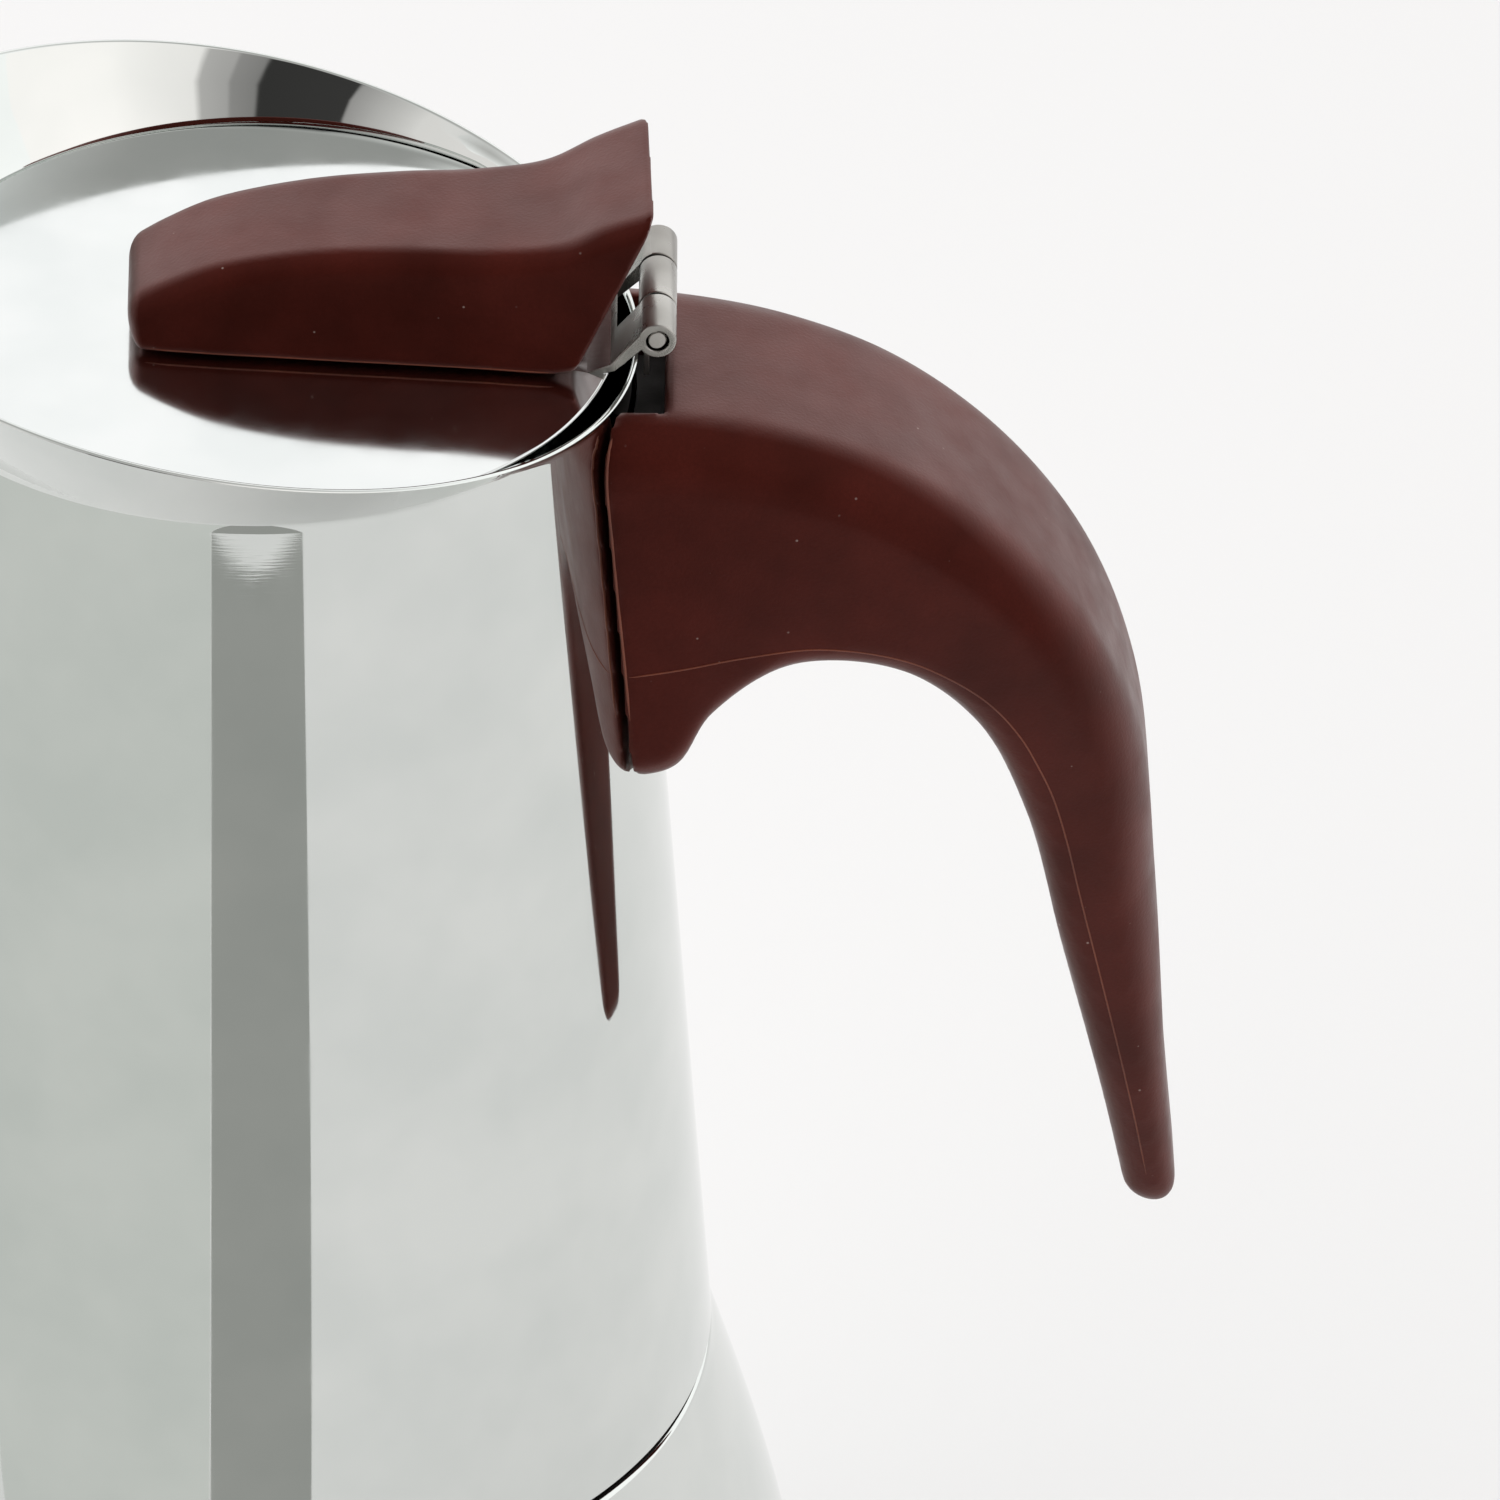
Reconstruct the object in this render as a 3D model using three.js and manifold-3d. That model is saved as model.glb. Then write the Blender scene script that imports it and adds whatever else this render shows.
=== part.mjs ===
// Stainless steel stovetop moka pot, built from its separate pieces.
// Millimetres, +Z up. The origin is the centre of the underside of the base disc.
// +X points to the handle.
// The collector (upper pot) is drawn in a frame of its own, whose zero is the collector's bottom edge.

import * as THREE from "three";
import { mergeVertices } from "three/addons/utils/BufferGeometryUtils.js";
import Module from "manifold-3d";

const wasm = await Module();
wasm.setup();

// ---------------------------------------------------------------- driving dimensions

const GAP = 0.3; // between pieces that touch on the real pot
const ROUND = 48; // facets round the large turned pieces
const SMALL_ROUND = 20; // facets round screws, pins and valve parts

const boiler = {
  height: 70, // underside of the base to the collector's bottom edge
  baseSetback: 6, // base edge inside the belly
  baseThickness: 3,
  baseEdge: 1,
  bellyFlare: 11, // belly radius past the collector's bottom edge
  bellyHeight: 12,
  cornerRadius: 7,
  wall: 0.7,
  shoulderDrop: 1.1, // gap seen between the shoulder and the collector's edge
  shoulderRound: 0.8,
};

const neck = {
  height: 9, // above the collector's bottom edge
  footRound: 0.8,
};

const thread = {
  pitch: 3,
  turns: 2.25,
  depth: 0.8,
  crestClearance: 0.3, // radial, crest to crest, so that the pieces also lift straight off
  ringWall: 0.6,
  ringClearance: 0.5, // between the ring and the collector's wall
  start: 0.9, // lowest thread centre above the collector's bottom edge
  crestHalf: 0.35,
  rootHalf: 0.85,
};

const collector = {
  bottomRadius: 41,
  bendRadius: 31.83,
  bendHeight: 109,
  wall: 0.6,
  leastFlare: 1.2, // height of the flare where the rim is lowest
};

// The rim is an ellipse seen from above, lowest at the hinge and highest at the spout.
const rim = {
  centreX: -3.2,
  flareLength: 4.17, // half length past the bend's radius
  flareWidth: 2.83, // half width past the bend's radius
  rise: 6.1, // above the bend, on the pot's axis
  slope: 0.185,
  sag: 0.0011,
};

const floorPlate = { clearance: 0.4, thickness: 0.7, collarHeight: 2 };
const column = { baseRadius: 9.9, topRadius: 6.2, height: 64, wall: 0.7, slotWidth: 6, slotHeight: 5 };
const columnCap = { wall: 0.6, skirt: 4, dome: 2.4 };

const funnel = {
  lipThickness: 0.8,
  lipOverhang: 0.4, // past the neck's outer wall
  basketClearance: 0.8,
  basketDepth: 18,
  coneDrop: 4,
  tubeRadius: 5,
  tubeTipHeight: 9, // above the base's underside
  wall: 0.7,
};

const gasket = { thickness: 2.5, width: 7.6, edge: 0.5 };
const filter = { thickness: 0.6, holeRadius: 0.9, holeRings: 3, margin: 3, beadWidth: 2.2, beadHeight: 0.5 };
const screen = { thickness: 0.6, holeRadius: 0.9, holeRings: 3, margin: 5 };

const valve = {
  turn: 180, // degrees about the axis from -Y
  height: 34, // of its centre above the base's underside
  washerRadius: 6.2,
  washerThickness: 0.8,
  hexAcrossFlats: 11,
  hexThickness: 3,
  barrelRadius: 4.2,
  barrelLength: 6.8, // from the washer
  seatThickness: 1.2,
  shankRadius: 3,
  shankLength: 5,
  shankClearance: 0.4,
  inletRadius: 1.2,
  chamberRadius: 3,
  nutAcrossFlats: 9.5,
  nutThickness: 2.4,
  nutSetback: 0.8, // lets the flat nut stand clear of the curved wall
  capThickness: 1,
  headRadius: 2.5,
  headThickness: 0.8,
  stemRadius: 1,
  stemProud: 0.9,
  travel: 1.2,
  springWire: 0.5,
  springTurns: 5,
};

const hinge = {
  pinOut: 2.47, // past the bend's radius
  pinRise: 3.5, // above the bend
  pinRadius: 0.8,
  boreRadius: 1,
  sheet: 0.65,
  near: -7.5, // ends of the lid's two knuckles, across the pot
  far: 8.8,
  middleNear: -2.1, // ends of the body's knuckle
  middleFar: 3.8,
  tailDrop: 3.5, // lower end of the body's leaf, below the bend
  tailSet: 0.35, // keeps the leaf clear of the rim
  tailSheet: 0.5,
};

const lid = {
  clearance: 0.25, // inside the collector's wall at the bend
  thickness: 0.6,
  rise: 0.9, // of its top face above the bend, on the pot's axis
  slope: 0.026, // falls to the hinge
  leafFoot: 3.53, // where the leaf leaves the disc, inside the bend's radius
  leafKnee: 1.53,
  leafKneeRise: 0.9,
};

const knob = {
  cornerTop: 2.2,
  cornerBottom: 0.8,
  noseRound: 2,
  backRound: 0.8,
  screwBack: [33, 13], // inside the bend's radius
  screwLength: 6,
  turn: 2.2, // degrees that it sits askew on its screws
  sections: 18,
};

const handle = {
  cornerTop: 5,
  cornerBottom: 2.6,
  tipRound: 2.3,
  bodyClearance: 0.3,
  notchOut: 3.2, // past the bend's radius
  notchHalfWidth: 9.2,
  notchDepth: 15, // below the bend
  screwSeat: 2.4, // plastic under the bracket's foot
  screwLength: 9,
  sections: 22,
};

const bracket = {
  thickness: 1.6,
  halfWidth: 5,
  bottomDrop: 27, // below the bend
  topDrop: 6,
  footLength: 5.5,
  footThickness: 2.2,
};

const screw = {
  radius: 1.5,
  headRadius: 2.9,
  headHeight: 1.8,
  slotWidth: 0.8,
  slotDepth: 0.8,
  clearance: 0.3,
};

// ---------------------------------------------------------------- geometry helpers

// A closed mesh as a solid with its faces pointing out.
function solid(geometry) {
  const bare = geometry.clone();
  for (const name of Object.keys(bare.attributes)) {
    if (name !== "position") bare.deleteAttribute(name);
  }
  const merged = mergeVertices(bare, 1e-4);
  const index = Uint32Array.from(merged.index.array);
  const vertProperties = Float32Array.from(merged.attributes.position.array);
  const make = (triVerts) => new wasm.Manifold(new wasm.Mesh({ numProp: 3, vertProperties, triVerts }));
  const made = make(index);
  if (made.volume() > 0) return made;
  for (let i = 0; i < index.length; i += 3) [index[i], index[i + 1]] = [index[i + 1], index[i]];
  return make(index);
}

function geometryOf(shape) {
  const { vertProperties, triVerts, numProp } = shape.getMesh();
  const indexed = new THREE.BufferGeometry();
  const position = new THREE.InterleavedBuffer(vertProperties, numProp);
  indexed.setAttribute("position", new THREE.InterleavedBufferAttribute(position, 3, 0));
  indexed.setIndex(new THREE.BufferAttribute(triVerts, 1));
  const flat = indexed.toNonIndexed();
  flat.computeVertexNormals();
  return flat;
}

// Turns a profile of [radius, height] pairs about Z.
function revolve(profile, facets = ROUND) {
  const lathe = new THREE.LatheGeometry(
    profile.map(([r, z]) => new THREE.Vector2(r, z)),
    facets,
  );
  lathe.rotateX(Math.PI / 2);
  return solid(lathe);
}

function cylinder(radius, low, high, facets = SMALL_ROUND) {
  return revolve([[0, low], [radius, low], [radius, high], [0, high]], facets);
}

function box(x0, x1, y0, y1, z0, z1) {
  const shape = new THREE.BoxGeometry(x1 - x0, y1 - y0, z1 - z0);
  shape.translate((x0 + x1) / 2, (y0 + y1) / 2, (z0 + z1) / 2);
  return solid(shape);
}

// An outline of [x, z] pairs pushed along Y from y0 to y1.
function slab(outline, y0, y1) {
  const shape = new THREE.Shape(outline.map(([x, z]) => new THREE.Vector2(x, z)));
  const extruded = new THREE.ExtrudeGeometry(shape, { depth: y1 - y0, bevelEnabled: false });
  extruded.rotateX(Math.PI / 2);
  extruded.translate(0, y1, 0);
  return solid(extruded);
}

function arc(centreA, centreB, radius, fromDegrees, toDegrees, steps) {
  return Array.from({ length: steps + 1 }, (_, i) => {
    const angle = THREE.MathUtils.degToRad(fromDegrees + ((toDegrees - fromDegrees) * i) / steps);
    return [centreA + radius * Math.cos(angle), centreB + radius * Math.sin(angle)];
  });
}

// A sheet of even thickness: the path and its copy set off to the left, as one closed outline.
function sheetOutline(path, thickness) {
  const inner = path.map(([a, b], i) => {
    const [a0, b0] = path[Math.max(i - 1, 0)];
    const [a1, b1] = path[Math.min(i + 1, path.length - 1)];
    const length = Math.hypot(a1 - a0, b1 - b0);
    const offset = [a - ((b1 - b0) / length) * thickness, b + ((a1 - a0) / length) * thickness];
    return a === 0 ? [0, offset[1]] : offset;
  });
  return [...path, ...inner.reverse()];
}

// A turned sheet. A path that starts on the axis closes there; any other closes on itself.
function turnedSheet(path, thickness, facets = ROUND) {
  const outline = sheetOutline(path, thickness);
  if (path[0][0] !== 0 && path.at(-1)[0] !== 0) outline.push(outline[0]);
  if (path.at(-1)[0] === 0) outline.push(...outline.splice(0, path.length));
  return revolve(outline, facets);
}

// Skins a row of equal rings of points. A looped row joins its last ring to its first.
function loft(rings, looped = false) {
  const size = rings[0].length;
  const points = rings.flat();
  const index = [];
  const rows = looped ? rings.length : rings.length - 1;
  for (let i = 0; i < rows; i++) {
    for (let j = 0; j < size; j++) {
      const a = i * size + j;
      const b = i * size + ((j + 1) % size);
      const c = ((i + 1) % rings.length) * size + j;
      const d = ((i + 1) % rings.length) * size + ((j + 1) % size);
      index.push(a, b, d, a, d, c);
    }
  }
  if (!looped) {
    for (const [ring, flip] of [[0, true], [rings.length - 1, false]]) {
      const centre = rings[ring].reduce((sum, p) => sum.add(p), new THREE.Vector3()).divideScalar(size);
      points.push(centre);
      for (let j = 0; j < size; j++) {
        const a = ring * size + j;
        const b = ring * size + ((j + 1) % size);
        index.push(...(flip ? [b, a, points.length - 1] : [a, b, points.length - 1]));
      }
    }
  }
  const geometry = new THREE.BufferGeometry().setFromPoints(points);
  geometry.setIndex(index);
  return solid(geometry);
}

// A screw ridge: a trapezoid swept round Z, sinking into its wall at both ends.
function threadRidge(wallRadius, crestRadius, startHeight) {
  const steps = Math.round(thread.turns * 24);
  const sunk = wallRadius + Math.sign(wallRadius - crestRadius) * 0.2;
  const rings = [];
  for (let i = 0; i <= steps; i++) {
    const turn = (i / steps) * thread.turns;
    const fade = Math.min(1, Math.min(turn, thread.turns - turn) / 0.15);
    const crest = wallRadius + (crestRadius - wallRadius) * fade;
    const z = startHeight + turn * thread.pitch;
    const angle = turn * 2 * Math.PI;
    const { rootHalf, crestHalf } = thread;
    const outline = [[sunk, -rootHalf], [crest, -crestHalf], [crest, crestHalf], [sunk, rootHalf]];
    rings.push(
      outline.map(([r, dz]) => new THREE.Vector3(r * Math.cos(angle), r * Math.sin(angle), z + dz)),
    );
  }
  return loft(rings);
}

function hexPrism(acrossFlats, low, high) {
  return revolve(
    [[0, low], [acrossFlats / Math.sqrt(3), low], [acrossFlats / Math.sqrt(3), high], [0, high]],
    6,
  );
}

// Rings of round holes, one in the middle, as one tool to cut with.
function holePattern(holeRadius, rings, pitch, low, high) {
  const holes = [cylinder(holeRadius, low, high, 6)];
  for (let ring = 1; ring <= rings; ring++) {
    const count = ring * 6;
    for (let i = 0; i < count; i++) {
      const angle = (i / count) * 2 * Math.PI;
      holes.push(holes[0].translate([Math.cos(angle) * ring * pitch, Math.sin(angle) * ring * pitch, 0]));
    }
  }
  return wasm.Manifold.union(holes);
}

// The ring of a moulded bar at one station: a rounded trapezoid between an outer and an inner point.
function barRing(outer, inner, halfTop, halfBottom, cornerTop, cornerBottom) {
  const up = new THREE.Vector3().subVectors(outer, inner);
  const height = up.length();
  up.normalize();
  const across = new THREE.Vector3(0, 1, 0);
  const limit = Math.min(height / 2, halfTop, halfBottom) * 0.95;
  const top = Math.min(cornerTop, limit);
  const bottom = Math.min(cornerBottom, limit);
  const widest = Math.max(halfTop, halfBottom);
  const corners = [
    ...arc(widest - bottom, bottom, bottom, -90, 0, 3),
    ...arc(widest - top, height - top, top, 0, 90, 5),
    ...arc(top - widest, height - top, top, 90, 180, 5),
    ...arc(bottom - widest, bottom, bottom, 180, 270, 3),
  ];
  return corners.map(([y, v]) => {
    const half = halfBottom + ((halfTop - halfBottom) * v) / height;
    return inner
      .clone()
      .addScaledVector(up, v)
      .addScaledVector(across, (y * half) / widest);
  });
}

// A moulded bar between two curves, with rounded ends.
function mouldedBar(shape) {
  const { outer, inner, halfTop, halfBottom, cornerTop, cornerBottom } = shape;
  const { startRound, endRound, sections } = shape;
  const toCurve = (points) =>
    new THREE.CatmullRomCurve3(points.map(([x, z]) => new THREE.Vector3(x, 0, z)), false, "centripetal");
  const outerCurve = toCurve(outer);
  const innerCurve = toCurve(inner);
  const length = (outerCurve.getLength() + innerCurve.getLength()) / 2;
  const stations = [];
  for (const degrees of [10, 40, 65]) {
    const inset = 1 - Math.sin(THREE.MathUtils.degToRad(degrees));
    const along = 1 - Math.cos(THREE.MathUtils.degToRad(degrees));
    stations.push([(startRound * along) / length, startRound * inset]);
    stations.push([1 - (endRound * along) / length, endRound * inset]);
  }
  const first = startRound / length;
  const last = 1 - endRound / length;
  for (let i = 0; i <= sections; i++) stations.push([first + ((last - first) * i) / sections, 0]);
  stations.sort((a, b) => a[0] - b[0]);
  return loft(
    stations.map(([s, inset]) => {
      const top = outerCurve.getPoint(s);
      const bottom = innerCurve.getPoint(s);
      const down = new THREE.Vector3().subVectors(bottom, top).normalize();
      top.addScaledVector(down, inset);
      bottom.addScaledVector(down, -inset);
      return barRing(top, bottom, halfTop(s) - inset, halfBottom(s) - inset, cornerTop, cornerBottom);
    }),
  );
}

// ---------------------------------------------------------------- shapes shared by several pieces

const bellyRadius = collector.bottomRadius + boiler.bellyFlare;
const baseRadius = bellyRadius - boiler.baseSetback;
const shoulderHeight = boiler.height - boiler.shoulderDrop;
const shellBottom = boiler.baseThickness + GAP;
const neckTop = boiler.height + neck.height;
const gasketStack = funnel.lipThickness + gasket.thickness + filter.thickness + 3 * GAP;
const floorHeight = neck.height + gasketStack + floorPlate.clearance;
const ringRoot = coneRadius(floorHeight) - collector.wall - thread.ringClearance - thread.ringWall;
const ringCrest = ringRoot - thread.depth;
const threadCrest = ringCrest - thread.crestClearance;
const neckRadius = threadCrest - thread.depth;
const lipRadius = neckRadius + funnel.lipOverhang;
const gasketBore = lipRadius - gasket.width;
const gasketBottom = neckTop + funnel.lipThickness + 2 * GAP;
const filterBottom = gasketBottom + gasket.thickness + GAP;

// Half of the boiler's side: a curve that leaves the belly upright and leans in to the shoulder.
const sideHeight = shoulderHeight - boiler.bellyHeight;
const boilerSide = new THREE.CubicBezierCurve(
  new THREE.Vector2(bellyRadius, boiler.bellyHeight),
  new THREE.Vector2(bellyRadius, boiler.bellyHeight + 0.39 * sideHeight),
  new THREE.Vector2(collector.bottomRadius + 5.9, shoulderHeight - 0.34 * sideHeight),
  new THREE.Vector2(collector.bottomRadius + 0.1, shoulderHeight - boiler.shoulderRound),
);

// Point and outward tilt of the boiler's side at a height.
function boilerSideAt(height) {
  let low = 0;
  let high = 1;
  for (let i = 0; i < 40; i++) {
    const middle = (low + high) / 2;
    if (boilerSide.getPoint(middle).y < height) low = middle;
    else high = middle;
  }
  const tangent = boilerSide.getTangent(low);
  return { radius: boilerSide.getPoint(low).x, tilt: Math.atan2(-tangent.x, tangent.y) };
}

function coneRadius(z) {
  const lean = (collector.bottomRadius - collector.bendRadius) / collector.bendHeight;
  return collector.bottomRadius - lean * z;
}

// The rim's radius and height in the direction of an angle about the axis.
function rimAt(angle) {
  const halfLength = collector.bendRadius + rim.flareLength;
  const c = Math.cos(angle) / halfLength;
  const s = Math.sin(angle) / (collector.bendRadius + rim.flareWidth);
  const e = -rim.centreX / halfLength;
  const a = c * c + s * s;
  const radius = (-c * e + Math.sqrt(c * c * e * e - a * (e * e - 1))) / a;
  const x = radius * Math.cos(angle);
  return { radius, height: collector.bendHeight + rim.rise - rim.slope * x - rim.sag * x * x };
}

const valveSeat = boilerSideAt(valve.height);
const lidHeight = collector.bendHeight + lid.rise;
const lidTopAt = (x) => lidHeight - lid.slope * x;
const lidRadius = collector.bendRadius - collector.wall - lid.clearance;
const pinX = collector.bendRadius + hinge.pinOut;
const pinHeight = collector.bendHeight + hinge.pinRise;

// ---------------------------------------------------------------- boiler

function makeBaseDisc() {
  const { baseThickness: t, baseEdge: e } = boiler;
  const r = baseRadius;
  return revolve([[0, 0], [r - e, 0], [r, e], [r, t - e], [r - e, t], [0, t]]);
}

function makeBoilerShell() {
  const { bellyHeight, cornerRadius, shoulderRound } = boiler;
  const side = boilerSide.getPoints(7).map((p) => [p.x, p.y]);
  const shoulderRadius = collector.bottomRadius - shoulderRound + 0.1;
  const path = [
    [0, shellBottom],
    ...arc(bellyRadius - cornerRadius, shellBottom + cornerRadius, cornerRadius, -90, 0, 4),
    ...side.slice(shellBottom + cornerRadius < bellyHeight ? 0 : 1),
    ...arc(shoulderRadius, shoulderHeight - shoulderRound, shoulderRound, 20, 90, 2),
    ...arc(neckRadius + neck.footRound, shoulderHeight + neck.footRound, neck.footRound, 270, 180, 2),
    [neckRadius, neckTop],
  ];
  const shell = turnedSheet(path, boiler.wall);
  const ridge = threadRidge(neckRadius, threadCrest, boiler.height + thread.start);
  const hole = placeOnBoiler(cylinder(valve.shankRadius + valve.shankClearance, -10, 10));
  return shell.add(ridge).subtract(hole);
}

// Turns a shape drawn along +Z, with its zero at the boiler's outer face, into the valve's place.
function placeOnBoiler(shape) {
  const degrees = 90 - THREE.MathUtils.radToDeg(valveSeat.tilt);
  const upright = shape.rotate([degrees, 0, 0]).translate([0, -valveSeat.radius, valve.height]);
  return upright.rotate([0, 0, valve.turn]);
}

function makeValveParts() {
  const washerTop = GAP + valve.washerThickness;
  const flange = washerTop + GAP;
  const bodyEnd = flange + valve.barrelLength;
  const chamberFloor = flange + valve.seatThickness;
  const washer = revolve([
    [valve.shankRadius + valve.shankClearance, GAP],
    [valve.washerRadius, GAP],
    [valve.washerRadius, washerTop],
    [valve.shankRadius + valve.shankClearance, washerTop],
    [valve.shankRadius + valve.shankClearance, GAP],
  ], SMALL_ROUND);
  const body = hexPrism(valve.hexAcrossFlats, flange, flange + valve.hexThickness)
    .add(cylinder(valve.barrelRadius, flange, bodyEnd))
    .add(cylinder(valve.shankRadius, -valve.shankLength, flange + 1))
    .subtract(cylinder(valve.inletRadius, -valve.shankLength - 1, bodyEnd))
    .subtract(cylinder(valve.chamberRadius, chamberFloor, bodyEnd + 1));
  const nutTop = -boiler.wall - valve.nutSetback;
  const nut = hexPrism(valve.nutAcrossFlats, nutTop - valve.nutThickness, nutTop).subtract(
    cylinder(valve.shankRadius + GAP, nutTop - valve.nutThickness - 1, nutTop + 1),
  );
  const capBottom = bodyEnd + GAP;
  const capTop = capBottom + valve.capThickness;
  const capBore = valve.stemRadius + GAP;
  const cap = revolve([
    [capBore, capBottom],
    [valve.barrelRadius, capBottom],
    [valve.barrelRadius, capTop - 0.4],
    [valve.barrelRadius - 0.4, capTop],
    [capBore, capTop],
    [capBore, capBottom],
  ], SMALL_ROUND);
  const headBottom = chamberFloor + GAP;
  const headTop = headBottom + valve.headThickness;
  const plunger = revolve([
    [0, headBottom],
    [valve.headRadius, headBottom],
    [valve.headRadius, headTop],
    [valve.stemRadius, headTop],
    [valve.stemRadius, capTop + valve.stemProud - 0.3],
    [valve.stemRadius - 0.3, capTop + valve.stemProud],
    [0, capTop + valve.stemProud],
  ], SMALL_ROUND);
  const springStart = headTop + valve.travel + valve.springWire;
  const spring = makeSpring(springStart, capBottom - GAP - valve.springWire / 2);
  const pieces = { valve_washer: washer, valve_body: body, valve_nut: nut, valve_cap: cap };
  Object.assign(pieces, { valve_plunger: plunger, valve_spring: spring });
  for (const name of Object.keys(pieces)) pieces[name] = placeOnBoiler(pieces[name]);
  return pieces;
}

function makeSpring(low, high) {
  const coilRadius = (valve.stemRadius + valve.chamberRadius) / 2;
  const steps = valve.springTurns * 10;
  const rings = Array.from({ length: steps + 1 }, (_, i) => {
    const angle = (i / steps) * valve.springTurns * 2 * Math.PI;
    const z = low + ((high - low) * i) / steps;
    return arc(coilRadius, z, valve.springWire / 2, 0, 270, 3).map(
      ([r, h]) => new THREE.Vector3(r * Math.cos(angle), r * Math.sin(angle), h),
    );
  });
  return loft(rings);
}

// ---------------------------------------------------------------- funnel, gasket and filter plate

const basketRadius = neckRadius - boiler.wall - funnel.basketClearance;
const lipBottom = neckTop + GAP;
const basketFloor = lipBottom - funnel.basketDepth;

function makeFunnel() {
  const path = [
    [funnel.tubeRadius, funnel.tubeTipHeight],
    [funnel.tubeRadius, basketFloor - funnel.coneDrop - 1.5],
    [funnel.tubeRadius + 0.6, basketFloor - funnel.coneDrop],
    [basketRadius - 2.5, basketFloor - 0.8],
    ...arc(basketRadius - 2, basketFloor + 1.4, 2, -60, 0, 3),
    [basketRadius, lipBottom - 1],
    [basketRadius + 0.5, lipBottom - 0.2],
    [basketRadius + 1, lipBottom],
    [lipRadius, lipBottom],
  ];
  return turnedSheet(path, funnel.wall);
}

function makeFunnelScreen() {
  const low = basketFloor + funnel.wall + 2 * GAP;
  const radius = basketRadius - funnel.wall - 2 * GAP - 1.4;
  const disc = cylinder(radius, low, low + screen.thickness, ROUND);
  const pitch = (radius - screen.margin) / screen.holeRings;
  return disc.subtract(holePattern(screen.holeRadius, screen.holeRings, pitch, low - 1, low + 2));
}

function makeGasket() {
  const { thickness: t, edge: e } = gasket;
  const a = gasketBore;
  const b = lipRadius;
  const z = gasketBottom;
  const outside = [[b - e, z], [b, z + e], [b, z + t - e], [b - e, z + t]];
  const inside = [[a + e, z + t], [a, z + t - e], [a, z + e], [a + e, z]];
  return revolve([inside.at(-1), ...outside, ...inside]);
}

function makeFilterPlate() {
  const z = filterBottom;
  const r = lipRadius - 0.2;
  const { thickness: t, beadWidth: w, beadHeight: h } = filter;
  const bead = gasketBore - 1;
  const pitch = (bead - w - filter.margin) / filter.holeRings;
  const disc = revolve([
    [0, z],
    [bead - w, z],
    [bead - w / 2, z - h],
    [bead, z],
    [r, z],
    [r, z + t],
    [0, z + t],
  ]);
  return disc.subtract(holePattern(filter.holeRadius, filter.holeRings, pitch, z - 2, z + t + 1));
}

// ---------------------------------------------------------------- collector (its own frame)

// One upright slice through the collector's wall, as a closed ring of points.
function collectorSlice(angle) {
  const { bottomRadius, wall, bendHeight, leastFlare } = collector;
  const edge = rimAt(angle);
  const bend = Math.min(bendHeight, edge.height - leastFlare);
  const outer = [[bottomRadius, 0], [coneRadius(bend), bend], [edge.radius, edge.height]];
  const inner = outer.map(([r, z]) => [r - wall, z]).reverse();
  return [...outer, ...inner].map(([r, z]) => new THREE.Vector3(r * Math.cos(angle), r * Math.sin(angle), z));
}

function makeCollectorShell() {
  const count = 72;
  const slices = Array.from({ length: count }, (_, i) => collectorSlice((i / count) * 2 * Math.PI));
  return loft(slices, true);
}

function makeThreadRing() {
  const top = floorHeight - GAP;
  const wall = thread.ringWall;
  const bottom = GAP + wall; // top face of the ring's lower lip
  const lip = coneRadius(0) - collector.wall - 2 * GAP;
  const outside = ringRoot + wall;
  const path = [[outside, top], [outside, bottom + 0.5], [outside + 0.4, bottom], [lip, bottom]];
  const ring = turnedSheet(path, -wall);
  return ring.add(threadRidge(ringRoot, ringCrest, thread.start + thread.pitch / 2));
}

function makeCollectorFloor() {
  const z = floorHeight;
  const { thickness: t, collarHeight } = floorPlate;
  const hole = column.baseRadius - column.wall - GAP - t;
  const edge = coneRadius(z + 3) - collector.wall - GAP;
  const collar = [[hole, z + collarHeight], [hole, z + 1], [hole + 0.8, z]];
  const edgeTurn = [[edge - 1, z], [edge, z + 1], [edge, z + 3]];
  return turnedSheet([...collar, ...edgeTurn], t);
}

function makeColumn() {
  const { baseRadius: r, wall, height: top, slotWidth, slotHeight } = column;
  const foot = floorHeight + floorPlate.thickness + GAP + wall;
  const path = [[r + 2.4, foot], [r + 0.7, foot + 0.8], [r, foot + 3], [column.topRadius, top]];
  const tube = turnedSheet(path, wall, 40);
  const slotTop = top - columnCap.skirt;
  return tube.subtract(
    box(-slotWidth / 2, slotWidth / 2, -2 * r, 2 * r, slotTop - slotHeight, slotTop),
  );
}

function makeColumnCap() {
  const inside = column.topRadius + GAP;
  const radius = inside + columnCap.wall;
  const top = column.height + GAP + columnCap.wall;
  const path = [
    [radius, top - columnCap.skirt + 1],
    [radius, top - 0.6],
    [radius - 1.2, top + 0.5 * columnCap.dome],
    [radius / 2, top + 0.9 * columnCap.dome],
    [0, top + columnCap.dome],
  ];
  return turnedSheet(path, columnCap.wall, 32);
}

// ---------------------------------------------------------------- hinge and lid (collector's frame)

function knuckle(y0, y1) {
  const { boreRadius, sheet } = hinge;
  const ring = [...arc(pinX, pinHeight, boreRadius + sheet, 0, 345, 23)];
  const bore = [...arc(pinX, pinHeight, boreRadius, 0, 345, 23)];
  return { ring: slab(ring, y0, y1), bore: slab(bore, y0 - 1, y1 + 1) };
}

function makeHingeLeaf() {
  const { middleNear, middleFar } = hinge;
  const { ring, bore } = knuckle(middleNear, middleFar);
  const x = pinX - hinge.boreRadius + hinge.tailSet;
  const bottom = collector.bendHeight - hinge.tailDrop;
  const tail = box(x - hinge.tailSheet, x, middleNear, middleFar, bottom, pinHeight);
  return ring.add(tail).subtract(bore);
}

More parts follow.
